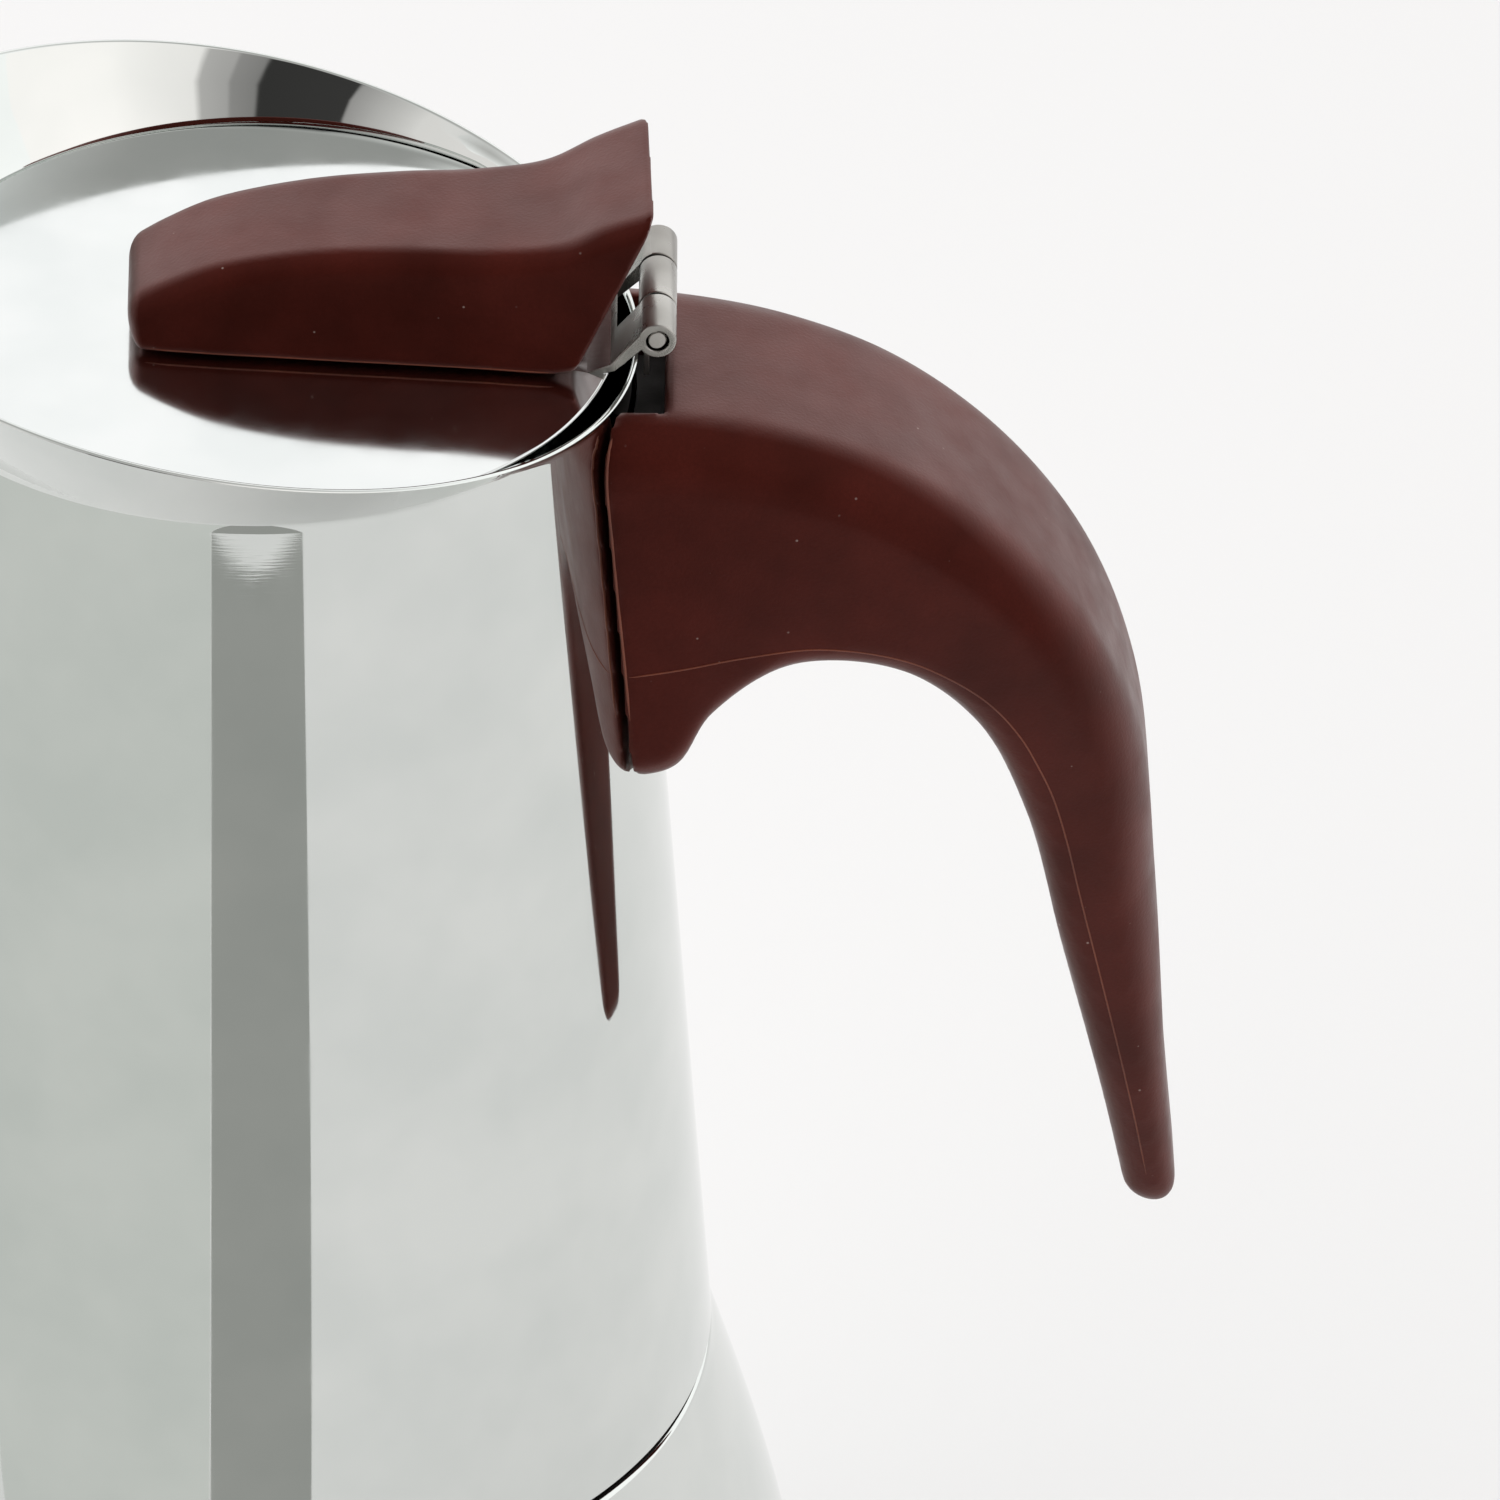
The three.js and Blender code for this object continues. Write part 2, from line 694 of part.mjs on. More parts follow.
function makeHingePin() {
  const pin = cylinder(hinge.pinRadius, -hinge.far, -hinge.near, 16);
  return pin.rotate([90, 0, 0]).translate([pinX, 0, pinHeight]);
}

function makeLid() {
  const tilt = THREE.MathUtils.radToDeg(Math.atan(lid.slope));
  const flat = cylinder(lidRadius, -lid.thickness, 0, ROUND);
  const disc = flat.rotate([0, tilt, 0]).translate([0, 0, lidHeight]);
  const { boreRadius, sheet } = hinge;
  const r = boreRadius + sheet;
  const footX = collector.bendRadius - lid.leafFoot;
  const kneeX = collector.bendRadius - lid.leafKnee;
  const foot = lidTopAt(footX);
  const knee = lidTopAt(kneeX) + lid.leafKneeRise;
  const wrap = arc(pinX, pinHeight, r, 160, 110, 2);
  const top = [[footX - 1, foot - 0.1], [footX, foot], [kneeX, knee], ...wrap];
  const leafOutline = [...top, [pinX, pinHeight + boreRadius], [pinX - r + 2 * sheet, pinHeight]];
  leafOutline.push([kneeX + 0.4, knee - sheet], [footX, foot - lid.thickness + 0.05]);
  leafOutline.push([footX - 1, foot - lid.thickness + 0.05]);
  const windowNear = hinge.middleNear - GAP;
  const windowFar = hinge.middleFar + GAP;
  const near = knuckle(hinge.near, windowNear);
  const far = knuckle(windowFar, hinge.far);
  const leaf = slab(leafOutline, hinge.near, hinge.far);
  const window = box(kneeX + 0.5, pinX + 3, windowNear, windowFar, knee - 3, pinHeight + 3);
  const holes = knobScrewPlaces().map(([x, z]) => screwHole(z - 2, z + 3).translate([x, 0, 0]));
  const drilled = disc.subtract(holes[0]).subtract(holes[1]);
  const whole = drilled.add(leaf).add(near.ring).add(far.ring);
  return whole.subtract(near.bore).subtract(far.bore).subtract(window);
}

// Outlines are measured from the bend's radius and from the lid's top face.
const knobOutline = {
  top: [
    [-43.4, 4.9], [-40.2, 6.7], [-35.8, 8.6], [-27.8, 10.2], [-19.8, 10.7],
    [-12.8, 10.7], [-6.8, 11.4], [-2.5, 13.5], [2, 15.2],
  ],
  bottom: [
    [-43, 0.6], [-40.2, 0.5], [-35.8, 0.4], [-29.8, 0.25], [-23.8, 0.1],
    [-17.8, 0], [-11.8, -0.2], [-7.3, -0.3], [-4.8, 0.3],
  ],
};

function knobShape() {
  const place = ([x, z]) => [x + collector.bendRadius, z + lidHeight];
  return mouldedBar({
    outer: knobOutline.top.map(place),
    inner: knobOutline.bottom.map(place),
    halfTop: (s) => 6.2 + 3.2 * s,
    halfBottom: (s) => 6.6 + 3.4 * s,
    cornerTop: knob.cornerTop,
    cornerBottom: knob.cornerBottom,
    startRound: knob.noseRound,
    endRound: knob.backRound,
    sections: knob.sections,
  });
}

function makeKnob() {
  const tilt = THREE.MathUtils.radToDeg(Math.atan(lid.slope));
  const below = box(-60, 60, -20, 20, -20, GAP).rotate([0, tilt, 0]).translate([0, 0, lidHeight]);
  const bores = knobScrewPlaces().map(([x, z]) => screwHole(-5, knob.screwLength + 1).translate([x, 0, z]));
  const screwX = (knobScrewPlaces()[0][0] + knobScrewPlaces()[1][0]) / 2;
  const turned = knobShape().translate([-screwX, 0, 0]).rotate([0, 0, knob.turn]).translate([screwX, 0, 0]);
  return turned.subtract(below).subtract(bores[0]).subtract(bores[1]);
}

// ---------------------------------------------------------------- handle (collector's frame)

// Outlines are measured from the bend's radius and height.
const handleOutline = {
  back: [
    [-6, -2.3], [3.2, -2.6], [13.5, -4.3], [23.8, -8.3], [33.5, -15.7],
    [41.1, -25.6], [45.9, -38], [48.1, -55], [50, -76], [52, -92.7],
  ],
  front: [
    [-6, -39], [4.4, -38.3], [7.7, -32.7], [14.4, -27.7], [23.9, -28.5],
    [31, -34.5], [35.9, -45.2], [39.8, -61], [44.1, -78.2], [47.3, -92.7],
  ],
};

function handleShape() {
  const place = ([x, z]) => [x + collector.bendRadius, z + collector.bendHeight];
  return mouldedBar({
    outer: handleOutline.back.map(place),
    inner: handleOutline.front.map(place),
    halfTop: (s) => 14 - 3 * s - 6 * s * s * s,
    halfBottom: (s) => 14 - 3.5 * s - 6 * s * s * s,
    cornerTop: handle.cornerTop,
    cornerBottom: handle.cornerBottom,
    startRound: 0.5,
    endRound: handle.tipRound,
    sections: handle.sections,
  });
}

// The collector's outer cone, grown by a clearance, as a tool to cut with.
function coneTool(clearance) {
  const top = collector.bendHeight + 20;
  const edge = (z) => [coneRadius(z) + clearance, z];
  return revolve([[0, -5], edge(-5), edge(top), [0, top]], 96);
}

const bracketBottom = collector.bendHeight - bracket.bottomDrop;
const bracketBack = coneRadius(bracketBottom) + GAP;

// The welded strap with its foot, grown by a clearance.
function bracketBox(clearance) {
  const { thickness, footLength, footThickness } = bracket;
  const half = bracket.halfWidth + clearance;
  const low = bracketBottom - clearance;
  const high = collector.bendHeight - bracket.topDrop + clearance;
  const strap = box(bracketBack - 6, bracketBack + thickness + clearance, -half, half, low, high);
  const footEnd = bracketBack + footLength + clearance;
  const foot = box(bracketBack, footEnd, -half, half, low, bracketBottom + footThickness + clearance);
  return strap.add(foot);
}

const handleScrewX = bracketBack + bracket.thickness + 2;
const handleScrewSeat = bracketBottom - handle.screwSeat;

function screwHole(low, high) {
  return cylinder(screw.radius + screw.clearance, low, high, 16);
}

function makeBracket() {
  const hole = screwHole(bracketBottom - 5, bracketBottom + 5);
  return bracketBox(0).subtract(coneTool(GAP)).subtract(hole.translate([handleScrewX, 0, 0]));
}

function makeHandle() {
  const { bendRadius, bendHeight } = collector;
  const half = handle.notchHalfWidth;
  const notchX = bendRadius + handle.notchOut;
  const notch = box(bendRadius - 12, notchX, -half, half, bendHeight - handle.notchDepth, bendHeight + 10);
  const shank = screwHole(handleScrewSeat - 12, handleScrewSeat + handle.screwLength + 1.4);
  const head = cylinder(screw.headRadius + screw.clearance, handleScrewSeat - 12, handleScrewSeat);
  return handleShape()
    .subtract(coneTool(handle.bodyClearance))
    .subtract(notch)
    .subtract(bracketBox(GAP))
    .subtract(shank.add(head).translate([handleScrewX, 0, 0]));
}

// Where the knob screws' heads bear on the underside of the lid.
function knobScrewPlaces() {
  return knob.screwBack.map((back) => {
    const x = collector.bendRadius - back;
    return [x, lidTopAt(x) - lid.thickness];
  });
}

// A slotted screw drawn point up, with the underside of its head at zero.
function makeScrew(length) {
  const head = revolve([
    [0, -screw.headHeight],
    [screw.headRadius - 0.8, -screw.headHeight],
    [screw.headRadius, -screw.headHeight + 0.8],
    [screw.headRadius, 0],
    [0, 0],
  ], SMALL_ROUND);
  const shank = cylinder(screw.radius, -0.2, length, 16);
  const half = screw.slotWidth / 2;
  const slot = box(-10, 10, -half, half, -screw.headHeight - 1, -screw.headHeight + screw.slotDepth);
  return head.add(shank).subtract(slot);
}

// ---------------------------------------------------------------- assembly

const finishes = {
  steel: { color: 0xd4d7da, roughness: 0.12, metalness: 1 },
  steelSatin: { color: 0xb9bcc0, roughness: 0.35, metalness: 1 },
  brass: { color: 0xc8a24a, roughness: 0.3, metalness: 1 },
  silicone: { color: 0xe6e4dd, roughness: 0.7, metalness: 0 },
  fibre: { color: 0x8c3a2c, roughness: 0.8, metalness: 0 },
  brownPlastic: { color: 0x4a2520, roughness: 0.5, metalness: 0 },
};

function piece(name, shape, finish) {
  const mesh = new THREE.Mesh(geometryOf(shape), new THREE.MeshStandardMaterial(finishes[finish]));
  mesh.name = name;
  return mesh;
}

const boilerGroup = new THREE.Group();
boilerGroup.add(piece("base_disc", makeBaseDisc(), "steelSatin"));
boilerGroup.add(piece("boiler_shell", makeBoilerShell(), "steel"));
const valveParts = makeValveParts();
for (const [name, finish] of [
  ["valve_washer", "fibre"],
  ["valve_body", "brass"],
  ["valve_nut", "brass"],
  ["valve_cap", "brass"],
  ["valve_plunger", "steelSatin"],
  ["valve_spring", "steelSatin"],
]) {
  boilerGroup.add(piece(name, valveParts[name], finish));
}

const brewGroup = new THREE.Group();
brewGroup.add(piece("funnel", makeFunnel(), "steelSatin"));
brewGroup.add(piece("funnel_screen", makeFunnelScreen(), "steelSatin"));
brewGroup.add(piece("gasket", makeGasket(), "silicone"));
brewGroup.add(piece("filter_plate", makeFilterPlate(), "steelSatin"));

const collectorGroup = new THREE.Group();
collectorGroup.position.z = boiler.height;
collectorGroup.add(piece("collector_shell", makeCollectorShell(), "steel"));
collectorGroup.add(piece("thread_ring", makeThreadRing(), "steelSatin"));
collectorGroup.add(piece("collector_floor", makeCollectorFloor(), "steelSatin"));
collectorGroup.add(piece("coffee_column", makeColumn(), "steelSatin"));
collectorGroup.add(piece("column_cap", makeColumnCap(), "steelSatin"));
collectorGroup.add(piece("handle_bracket", makeBracket(), "steelSatin"));
collectorGroup.add(piece("handle", makeHandle(), "brownPlastic"));
collectorGroup.add(piece("hinge_leaf", makeHingeLeaf(), "steelSatin"));
collectorGroup.add(piece("hinge_pin", makeHingePin(), "steelSatin"));

const handleScrew = piece("handle_screw", makeScrew(handle.screwLength), "steelSatin");
handleScrew.position.set(handleScrewX, 0, handleScrewSeat - GAP);
collectorGroup.add(handleScrew);

const lidGroup = new THREE.Group();
lidGroup.add(piece("lid", makeLid(), "steel"));
lidGroup.add(piece("knob", makeKnob(), "brownPlastic"));
knobScrewPlaces().forEach(([x, z], i) => {
  const fastener = piece("knob_screw_" + (i + 1), makeScrew(knob.screwLength), "steelSatin");
  fastener.position.set(x, 0, z - GAP);
  lidGroup.add(fastener);
});
collectorGroup.add(lidGroup);

const pot = new THREE.Group();
pot.name = "moka_pot";
pot.add(boilerGroup, brewGroup, collectorGroup);

export default pot;
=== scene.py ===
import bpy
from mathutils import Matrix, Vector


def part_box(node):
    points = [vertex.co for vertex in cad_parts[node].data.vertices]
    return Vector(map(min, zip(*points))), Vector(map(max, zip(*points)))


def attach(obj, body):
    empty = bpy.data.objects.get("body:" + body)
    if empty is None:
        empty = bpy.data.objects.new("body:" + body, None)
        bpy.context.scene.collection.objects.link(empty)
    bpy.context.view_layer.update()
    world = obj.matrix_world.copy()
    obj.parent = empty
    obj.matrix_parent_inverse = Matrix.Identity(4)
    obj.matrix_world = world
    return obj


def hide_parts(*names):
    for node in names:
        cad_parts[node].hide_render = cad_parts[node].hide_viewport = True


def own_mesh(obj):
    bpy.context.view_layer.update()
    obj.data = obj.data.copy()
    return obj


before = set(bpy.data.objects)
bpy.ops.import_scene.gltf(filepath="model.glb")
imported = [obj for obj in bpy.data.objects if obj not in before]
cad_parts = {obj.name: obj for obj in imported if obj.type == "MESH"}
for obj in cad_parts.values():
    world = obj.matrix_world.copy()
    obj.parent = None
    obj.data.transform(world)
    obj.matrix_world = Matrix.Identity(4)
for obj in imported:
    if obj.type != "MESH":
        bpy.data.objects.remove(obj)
"""Looks of a stovetop moka pot: steel boiler and collector, moulded handle and knob."""

import logging
import math
from collections.abc import Callable
from dataclasses import dataclass, field
from enum import Enum

import bmesh
import bpy
from mathutils import Matrix, Vector
from mathutils.bvhtree import BVHTree

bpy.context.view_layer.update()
MM = 0.001
SEGMENTS = 224
GAP = 0.3  # clearance between neighbouring pieces, in millimetres
SCREW_HOLE = 1.8  # radius of the holes that screws pass through, in millimetres
NEAR_SIDE, FAR_SIDE = -40.0, 40.0  # y clear of every moulded piece, in millimetres
LOG = logging.getLogger("moka_pot")

Outline = list[tuple[float, float]]


class Finish(Enum):
    """The finishes of the pot, each named for the record's slot."""

    POLISHED = "polished_steel"
    SATIN = "satin_steel"
    BRASS = "brass"
    FIBRE = "fibre"
    SILICONE = "silicone"
    PLASTIC = "brown_plastic"


@dataclass(frozen=True)
class Sizes:
    """The pot's main sizes in millimetres, in the frame that all pieces share."""

    seat: float = 70.0  # height of the collector's bottom edge
    bottom_radius: float = 41.0
    bend_radius: float = 31.83
    bend_height: float = 109.0
    rim_centre: float = -3.2  # the rim is an oval about this x
    rim_length: float = 4.17  # its half length past the bend
    rim_width: float = 2.83  # its half width past the bend
    rim_rise: float = 6.1  # above the bend
    rim_fall: float = 0.185  # towards the handle, with x
    rim_curve: float = 0.0011  # and with x squared
    wall: float = 0.6
    lid_rise: float = 0.9
    lid_slope: float = 0.026
    lid_radius: float = 30.98
    neck_radius: float = 36.205
    neck_top: float = 79.0
    belly_radius: float = 52.0
    pin_x: float = 34.3
    pin_z: float = 182.5
    hinge_near: float = -7.5
    hinge_far: float = 8.8
    middle_near: float = -2.1
    middle_far: float = 3.8
    screw_xs: tuple[float, float] = (-1.17, 18.83)

    @property
    def lid_top(self) -> float:
        """Height of the lid's top face on the axis."""
        return self.seat + self.bend_height + self.lid_rise


SIZE = Sizes()


# ---------------------------------------------------------------- nodes and colours


def srgb(hex_colour: str) -> tuple[float, float, float, float]:
    """Turns a screen colour into the linear one that shaders use.

    Args:
        hex_colour: six hex digits with a leading #.

    Returns:
        Red, green, blue and alpha from 0 to 1.
    """
    parts = [int(hex_colour[i : i + 2], 16) / 255 for i in (1, 3, 5)]
    linear = [c / 12.92 if c <= 0.04045 else ((c + 0.055) / 1.055) ** 2.4 for c in parts]
    return (*linear, 1.0)


def add_node(tree: bpy.types.NodeTree, kind: str, inputs: dict | None = None, **settings) -> bpy.types.Node:
    """Adds a node with its settings and links.

    Args:
        tree: the node tree.
        kind: the node's type name.
        inputs: value or output socket for each input, by name or number.
        settings: attributes of the node.

    Returns:
        The new node.
    """
    node = tree.nodes.new(kind)
    for name, value in settings.items():
        setattr(node, name, value)
    for key, value in (inputs or {}).items():
        socket = node.inputs[key]
        if isinstance(value, bpy.types.NodeSocket):
            tree.links.new(value, socket)
        else:
            socket.default_value = value
    return node


def pattern(tree: bpy.types.NodeTree, feature: float, stretch: tuple[float, float, float] = (1, 1, 1),
            detail: float = 3.0) -> bpy.types.NodeSocket:
    """Noise over the object's own coordinates.

    Args:
        tree: the material's node tree.
        feature: size of one feature in millimetres.
        stretch: how many times longer a feature is along each axis.
        detail: octaves of the noise.

    Returns:
        The noise from 0 to 1.
    """
    place = add_node(tree, "ShaderNodeTexCoord").outputs["Object"]
    scale = [1 / (feature * MM * s) for s in stretch]
    placed = add_node(tree, "ShaderNodeMapping", {"Vector": place, "Scale": scale})
    noise = add_node(tree, "ShaderNodeTexNoise",
                     {"Vector": placed.outputs[0], "Scale": 1.0, "Detail": detail})
    return noise.outputs["Fac"]


def new_material(name: str) -> tuple[bpy.types.Material, bpy.types.NodeTree, bpy.types.Node]:
    """Makes an empty material.

    Args:
        name: the finish's name.

    Returns:
        The material, its tree and its principled shader.
    """
    material = bpy.data.materials.new(name)
    material.use_nodes = True
    return material, material.node_tree, material.node_tree.nodes["Principled BSDF"]


@dataclass(frozen=True)
class Metal:
    """A metal finish: two near tones, a gloss that varies, and fine lines from polishing."""

    name: str
    light: str
    dark: str
    gloss: tuple[float, float]  # lowest and highest roughness
    line_width: float  # of the polishing lines, in millimetres
    line_stretch: tuple[float, float, float]
    line_depth: float  # in millimetres
    wave_depth: float = 0.0  # of the sheet's slight unevenness, in millimetres

    def build(self) -> bpy.types.Material:
        """Makes the material."""
        material, tree, shader = new_material(self.name)
        cloud = pattern(tree, 14)
        lines = pattern(tree, self.line_width, self.line_stretch, 2)
        smear = pattern(tree, 3.5, (1, 1, 2.2), 4)
        share = add_node(tree, "ShaderNodeMapRange", {"Value": cloud, 1: 0.35, 2: 0.65}).outputs["Result"]
        colour = add_node(tree, "ShaderNodeMix", {0: share, 6: srgb(self.light), 7: srgb(self.dark)},
                          data_type="RGBA")
        tree.links.new(colour.outputs[2], shader.inputs["Base Color"])
        rough = add_node(tree, "ShaderNodeMapRange",
                         {"Value": smear, 1: 0.3, 2: 0.7, 3: self.gloss[0], 4: self.gloss[1]})
        tree.links.new(rough.outputs["Result"], shader.inputs["Roughness"])
        shader.inputs["Metallic"].default_value = 1.0
        fine = add_node(tree, "ShaderNodeBump",
                        {"Strength": 1.0, "Distance": self.line_depth * MM, "Height": lines})
        if self.wave_depth:
            wave = pattern(tree, 22, (1, 1, 1), 1)
            fine = add_node(tree, "ShaderNodeBump", {"Strength": 1.0, "Distance": self.wave_depth * MM,
                                                     "Height": wave, "Normal": fine.outputs[0]})
        tree.links.new(fine.outputs[0], shader.inputs["Normal"])
        return material


@dataclass(frozen=True)
class Moulding:
    """A moulded finish: mottled colour, a fine grain, and specks of dust."""

    name: str
    light: str
    dark: str
    gloss: tuple[float, float]
    grain_size: float  # in millimetres
    grain_depth: float  # in millimetres
    dust: float = 0.0  # how much dust shows, 0 to 1
    dust_colour: str = "#B9A8A0"
    sheen: tuple[float, float] = (0.5, 0.5)  # specular level face on and at a slant
    sheen_tint: str = "#FFFFFF"

    def build(self) -> bpy.types.Material:
        """Makes the material."""
        material, tree, shader = new_material(self.name)
        cloud = pattern(tree, 9, (1, 1, 1), 4)
        grain = pattern(tree, self.grain_size, (1, 1, 1), 3)
        mottle = add_node(tree, "ShaderNodeMapRange", {"Value": cloud, 1: 0.3, 2: 0.7}).outputs["Result"]
        colour = add_node(tree, "ShaderNodeMix", {0: mottle, 6: srgb(self.light), 7: srgb(self.dark)},
                          data_type="RGBA").outputs[2]
        pits = add_node(tree, "ShaderNodeMapRange",
                        {"Value": grain, 1: 0.3, 2: 0.75, 4: 0.35}).outputs["Result"]
        deep = add_node(tree, "ShaderNodeMix", {0: pits, 6: colour, 7: srgb(self.dark)},
                        data_type="RGBA").outputs[2]
        if self.dust:
            place = add_node(tree, "ShaderNodeTexCoord").outputs["Object"]
            cells = add_node(tree, "ShaderNodeTexVoronoi", {"Vector": place, "Scale": 1 / (2.1 * MM)})
            speck = add_node(tree, "ShaderNodeMapRange",
                             {"Value": cells.outputs["Distance"], 1: 0.03, 2: 0.07, 3: 1.0, 4: 0.0})
            rare = add_node(tree, "ShaderNodeMapRange",
                            {"Value": pattern(tree, 5.3), 1: 0.52, 2: 0.6, 4: self.dust})
            share = add_node(tree, "ShaderNodeMath", {0: speck.outputs["Result"], 1: rare.outputs["Result"]},
                             operation="MULTIPLY")
            deep = add_node(tree, "ShaderNodeMix", {0: share.outputs[0], 6: deep, 7: srgb(self.dust_colour)},
                            data_type="RGBA").outputs[2]
        tree.links.new(deep, shader.inputs["Base Color"])
        smear = pattern(tree, 4.0, (1, 1, 1), 4)
        rough = add_node(tree, "ShaderNodeMapRange",
                         {"Value": smear, 1: 0.3, 2: 0.7, 3: self.gloss[0], 4: self.gloss[1]})
        tree.links.new(rough.outputs["Result"], shader.inputs["Roughness"])
        if self.sheen != (0.5, 0.5):
            slant = add_node(tree, "ShaderNodeLayerWeight", {"Blend": 0.5}).outputs["Facing"]
            level = add_node(tree, "ShaderNodeMapRange",
                             {"Value": slant, 1: 0.16, 2: 0.46, 3: self.sheen[0], 4: self.sheen[1]})
            tree.links.new(level.outputs["Result"], shader.inputs["Specular IOR Level"])
            shader.inputs["Specular Tint"].default_value = srgb(self.sheen_tint)
        bump = add_node(tree, "ShaderNodeBump",
                        {"Strength": 1.0, "Distance": self.grain_depth * MM, "Height": grain})
        tree.links.new(bump.outputs[0], shader.inputs["Normal"])
        return material


def make_finishes() -> dict[str, bpy.types.Material]:
    """Builds every finish of the pot.

    Returns:
        The materials by short name.
    """
    round_lines = (9, 9, 0.35)
    finishes = {
        # Mirror-polished stainless sheet, faintly green-grey, with fine lines round the axis.
        "mirror": Metal("Polished stainless steel", "#DCDFDC", "#D4D8D5", (0.015, 0.055), 0.5, round_lines,
                        0.0005, 0.002),
        # The lid's pressed sheet, polished the same way.
        "lid": Metal("Polished stainless lid", "#DCDEDD", "#D5D8D7", (0.07, 0.12), 0.5, (3, 3, 3),
                     0.0006, 0.003),
        # Stainless sheet as rolled and pressed, for the pieces inside.
        "satin": Metal("Satin stainless steel", "#C3C5C4", "#AEB1B0", (0.22, 0.36), 0.22, (10, 10, 0.5),
                       0.003),
        # The hinge's folded and worn sheet.
        "worn": Metal("Worn hinge steel", "#B5B3AE", "#7F7B76", (0.2, 0.42), 0.16, (1, 5, 1), 0.006),
        # Near-black steel, painted shade: the shade in the handle's notch on the bracket, and under the
        # collector's edge on the boiler's shoulder.
        "painted_shade": Metal("Steel in painted shade", "#262322", "#191716", (0.45, 0.65), 0.3, (1, 1, 1), 0.01),
        # Turned brass of the safety valve.
        "brass": Metal("Machined brass", "#C9A45A", "#B08A42", (0.18, 0.32), 0.12, (6, 1, 6), 0.003),
        # Pressed vegetable fibre washer.
        "fibre": Moulding("Red fibre", "#8E3B2C", "#6E2A20", (0.7, 0.85), 0.25, 0.03),
        # Off-white food silicone.
        "silicone": Moulding("Off-white silicone", "#E3DFD4", "#D6D1C4", (0.45, 0.6), 0.4, 0.008),
        # Dark red-brown phenolic moulding with a fine satin grain.
        "phenolic": Moulding("Brown phenolic", "#481B15", "#34120D", (0.32, 0.46), 0.3, 0.022, 0.6,
                             sheen=(0.1, 0.95), sheen_tint="#EFA59C"),
        # Thin flash along the mould's parting line, where the brown shows lighter.
        "flash": Moulding("Phenolic mould flash", "#7C3B22", "#5A2716", (0.4, 0.55), 0.3, 0.01),
    }
    return {name: finish.build() for name, finish in finishes.items()}


# ---------------------------------------------------------------- outlines


def arc(centre: tuple[float, float], radius: float, start: float, end: float, steps: int = 10) -> Outline:
    """Points along an arc.

    Args:
        centre: its centre.
        radius: its radius.
        start: first angle in degrees.
        end: last angle in degrees.
        steps: how many chords.

    Returns:
        The points.
    """
    angles = [math.radians(start + (end - start) * i / steps) for i in range(steps + 1)]
    return [(centre[0] + radius * math.cos(a), centre[1] + radius * math.sin(a)) for a in angles]


def bezier(ends: list[tuple[float, float]], steps: int) -> Outline:
    """Points along a cubic curve.

    Args:
        ends: its four control points.
        steps: how many chords.

    Returns:
        The points.
    """
    made = []
    for i in range(steps + 1):
        t = i / steps
        w = ((1 - t) ** 3, 3 * t * (1 - t) ** 2, 3 * t * t * (1 - t), t**3)
        made.append(tuple(sum(w[k] * ends[k][axis] for k in range(4)) for axis in (0, 1)))
    return made


def soften(points: Outline, radius: float, closed: bool = False, steps: int = 5,
           least: float = 15.0) -> Outline:
    """Rounds the corners of an outline.

    Args:
        points: the outline.
        radius: the wanted corner radius.
        closed: whether the last point joins the first.
        steps: chords in each corner.
        least: corners that turn less than this many degrees stay as they are.

    Returns:
        The rounded outline.
    """
    made: Outline = []
    count = len(points)
    for i, here in enumerate(points):
        inside = closed or 0 < i < count - 1
        if not inside:
            made.append(here)
            continue
        p, a, b = Vector(here), Vector(points[i - 1]), Vector(points[(i + 1) % count])
        to_a, to_b = a - p, b - p
        if min(to_a.length, to_b.length) < 1e-9:
            continue
        turn = math.pi - to_a.angle(to_b)
        if math.degrees(turn) < least:
            made.append(here)
            continue
        reach = min(radius * math.tan(turn / 2), 0.48 * to_a.length, 0.48 * to_b.length)
        first, last = p + to_a.normalized() * reach, p + to_b.normalized() * reach
        for k in range(steps + 1):
            t = k / steps
            q = first * (1 - t) ** 2 + p * 2 * t * (1 - t) + last * t * t
            made.append((q.x, q.y))
    return made


def sheet(path: Outline, thickness: float) -> Outline:
    """The outline of a sheet: the path, and its copy set off to the left.

    Args:
        path: points along one face.
        thickness: how far off the other face is.

    Returns:
        The outline, from the path's start round to the start's other face.
    """
    other = []
    for i, (r, z) in enumerate(path):
        before, after = path[max(i - 1, 0)], path[min(i + 1, len(path) - 1)]
        dr, dz = after[0] - before[0], after[1] - before[1]
        length = math.hypot(dr, dz)
        moved = (r - dz / length * thickness, z + dr / length * thickness)
        other.append((0.0, moved[1]) if r == 0 else moved)
    return path + other[::-1]


def centripetal(points: Outline, share: float) -> Vector:
    """A point on the centripetal curve through some points.

    Args:
        points: the points that the curve goes through.
        share: how far along, 0 to 1, even in the points' numbers.

    Returns:
        The point, in two axes.
    """
    p = [Vector(q) for q in points]
    last = len(p) - 1
    at = min(int(share * last), last - 1)
    t = share * last - at
    p1, p2 = p[at], p[at + 1]
    p0 = p[at - 1] if at > 0 else 2 * p[0] - p[1]
    p3 = p[at + 2] if at + 2 <= last else 2 * p[last] - p[last - 1]
    d0, d1, d2 = (max((b - a).length ** 0.5, 1e-4) for a, b in ((p0, p1), (p1, p2), (p2, p3)))
    m1 = ((p1 - p0) / d0 - (p2 - p0) / (d0 + d1) + (p2 - p1) / d1) * d1
    m2 = ((p2 - p1) / d1 - (p3 - p1) / (d1 + d2) + (p3 - p2) / d2) * d1
    return p1 + m1 * t + (3 * (p2 - p1) - 2 * m1 - m2) * t**2 + (2 * (p1 - p2) + m1 + m2) * t**3


# ---------------------------------------------------------------- solids


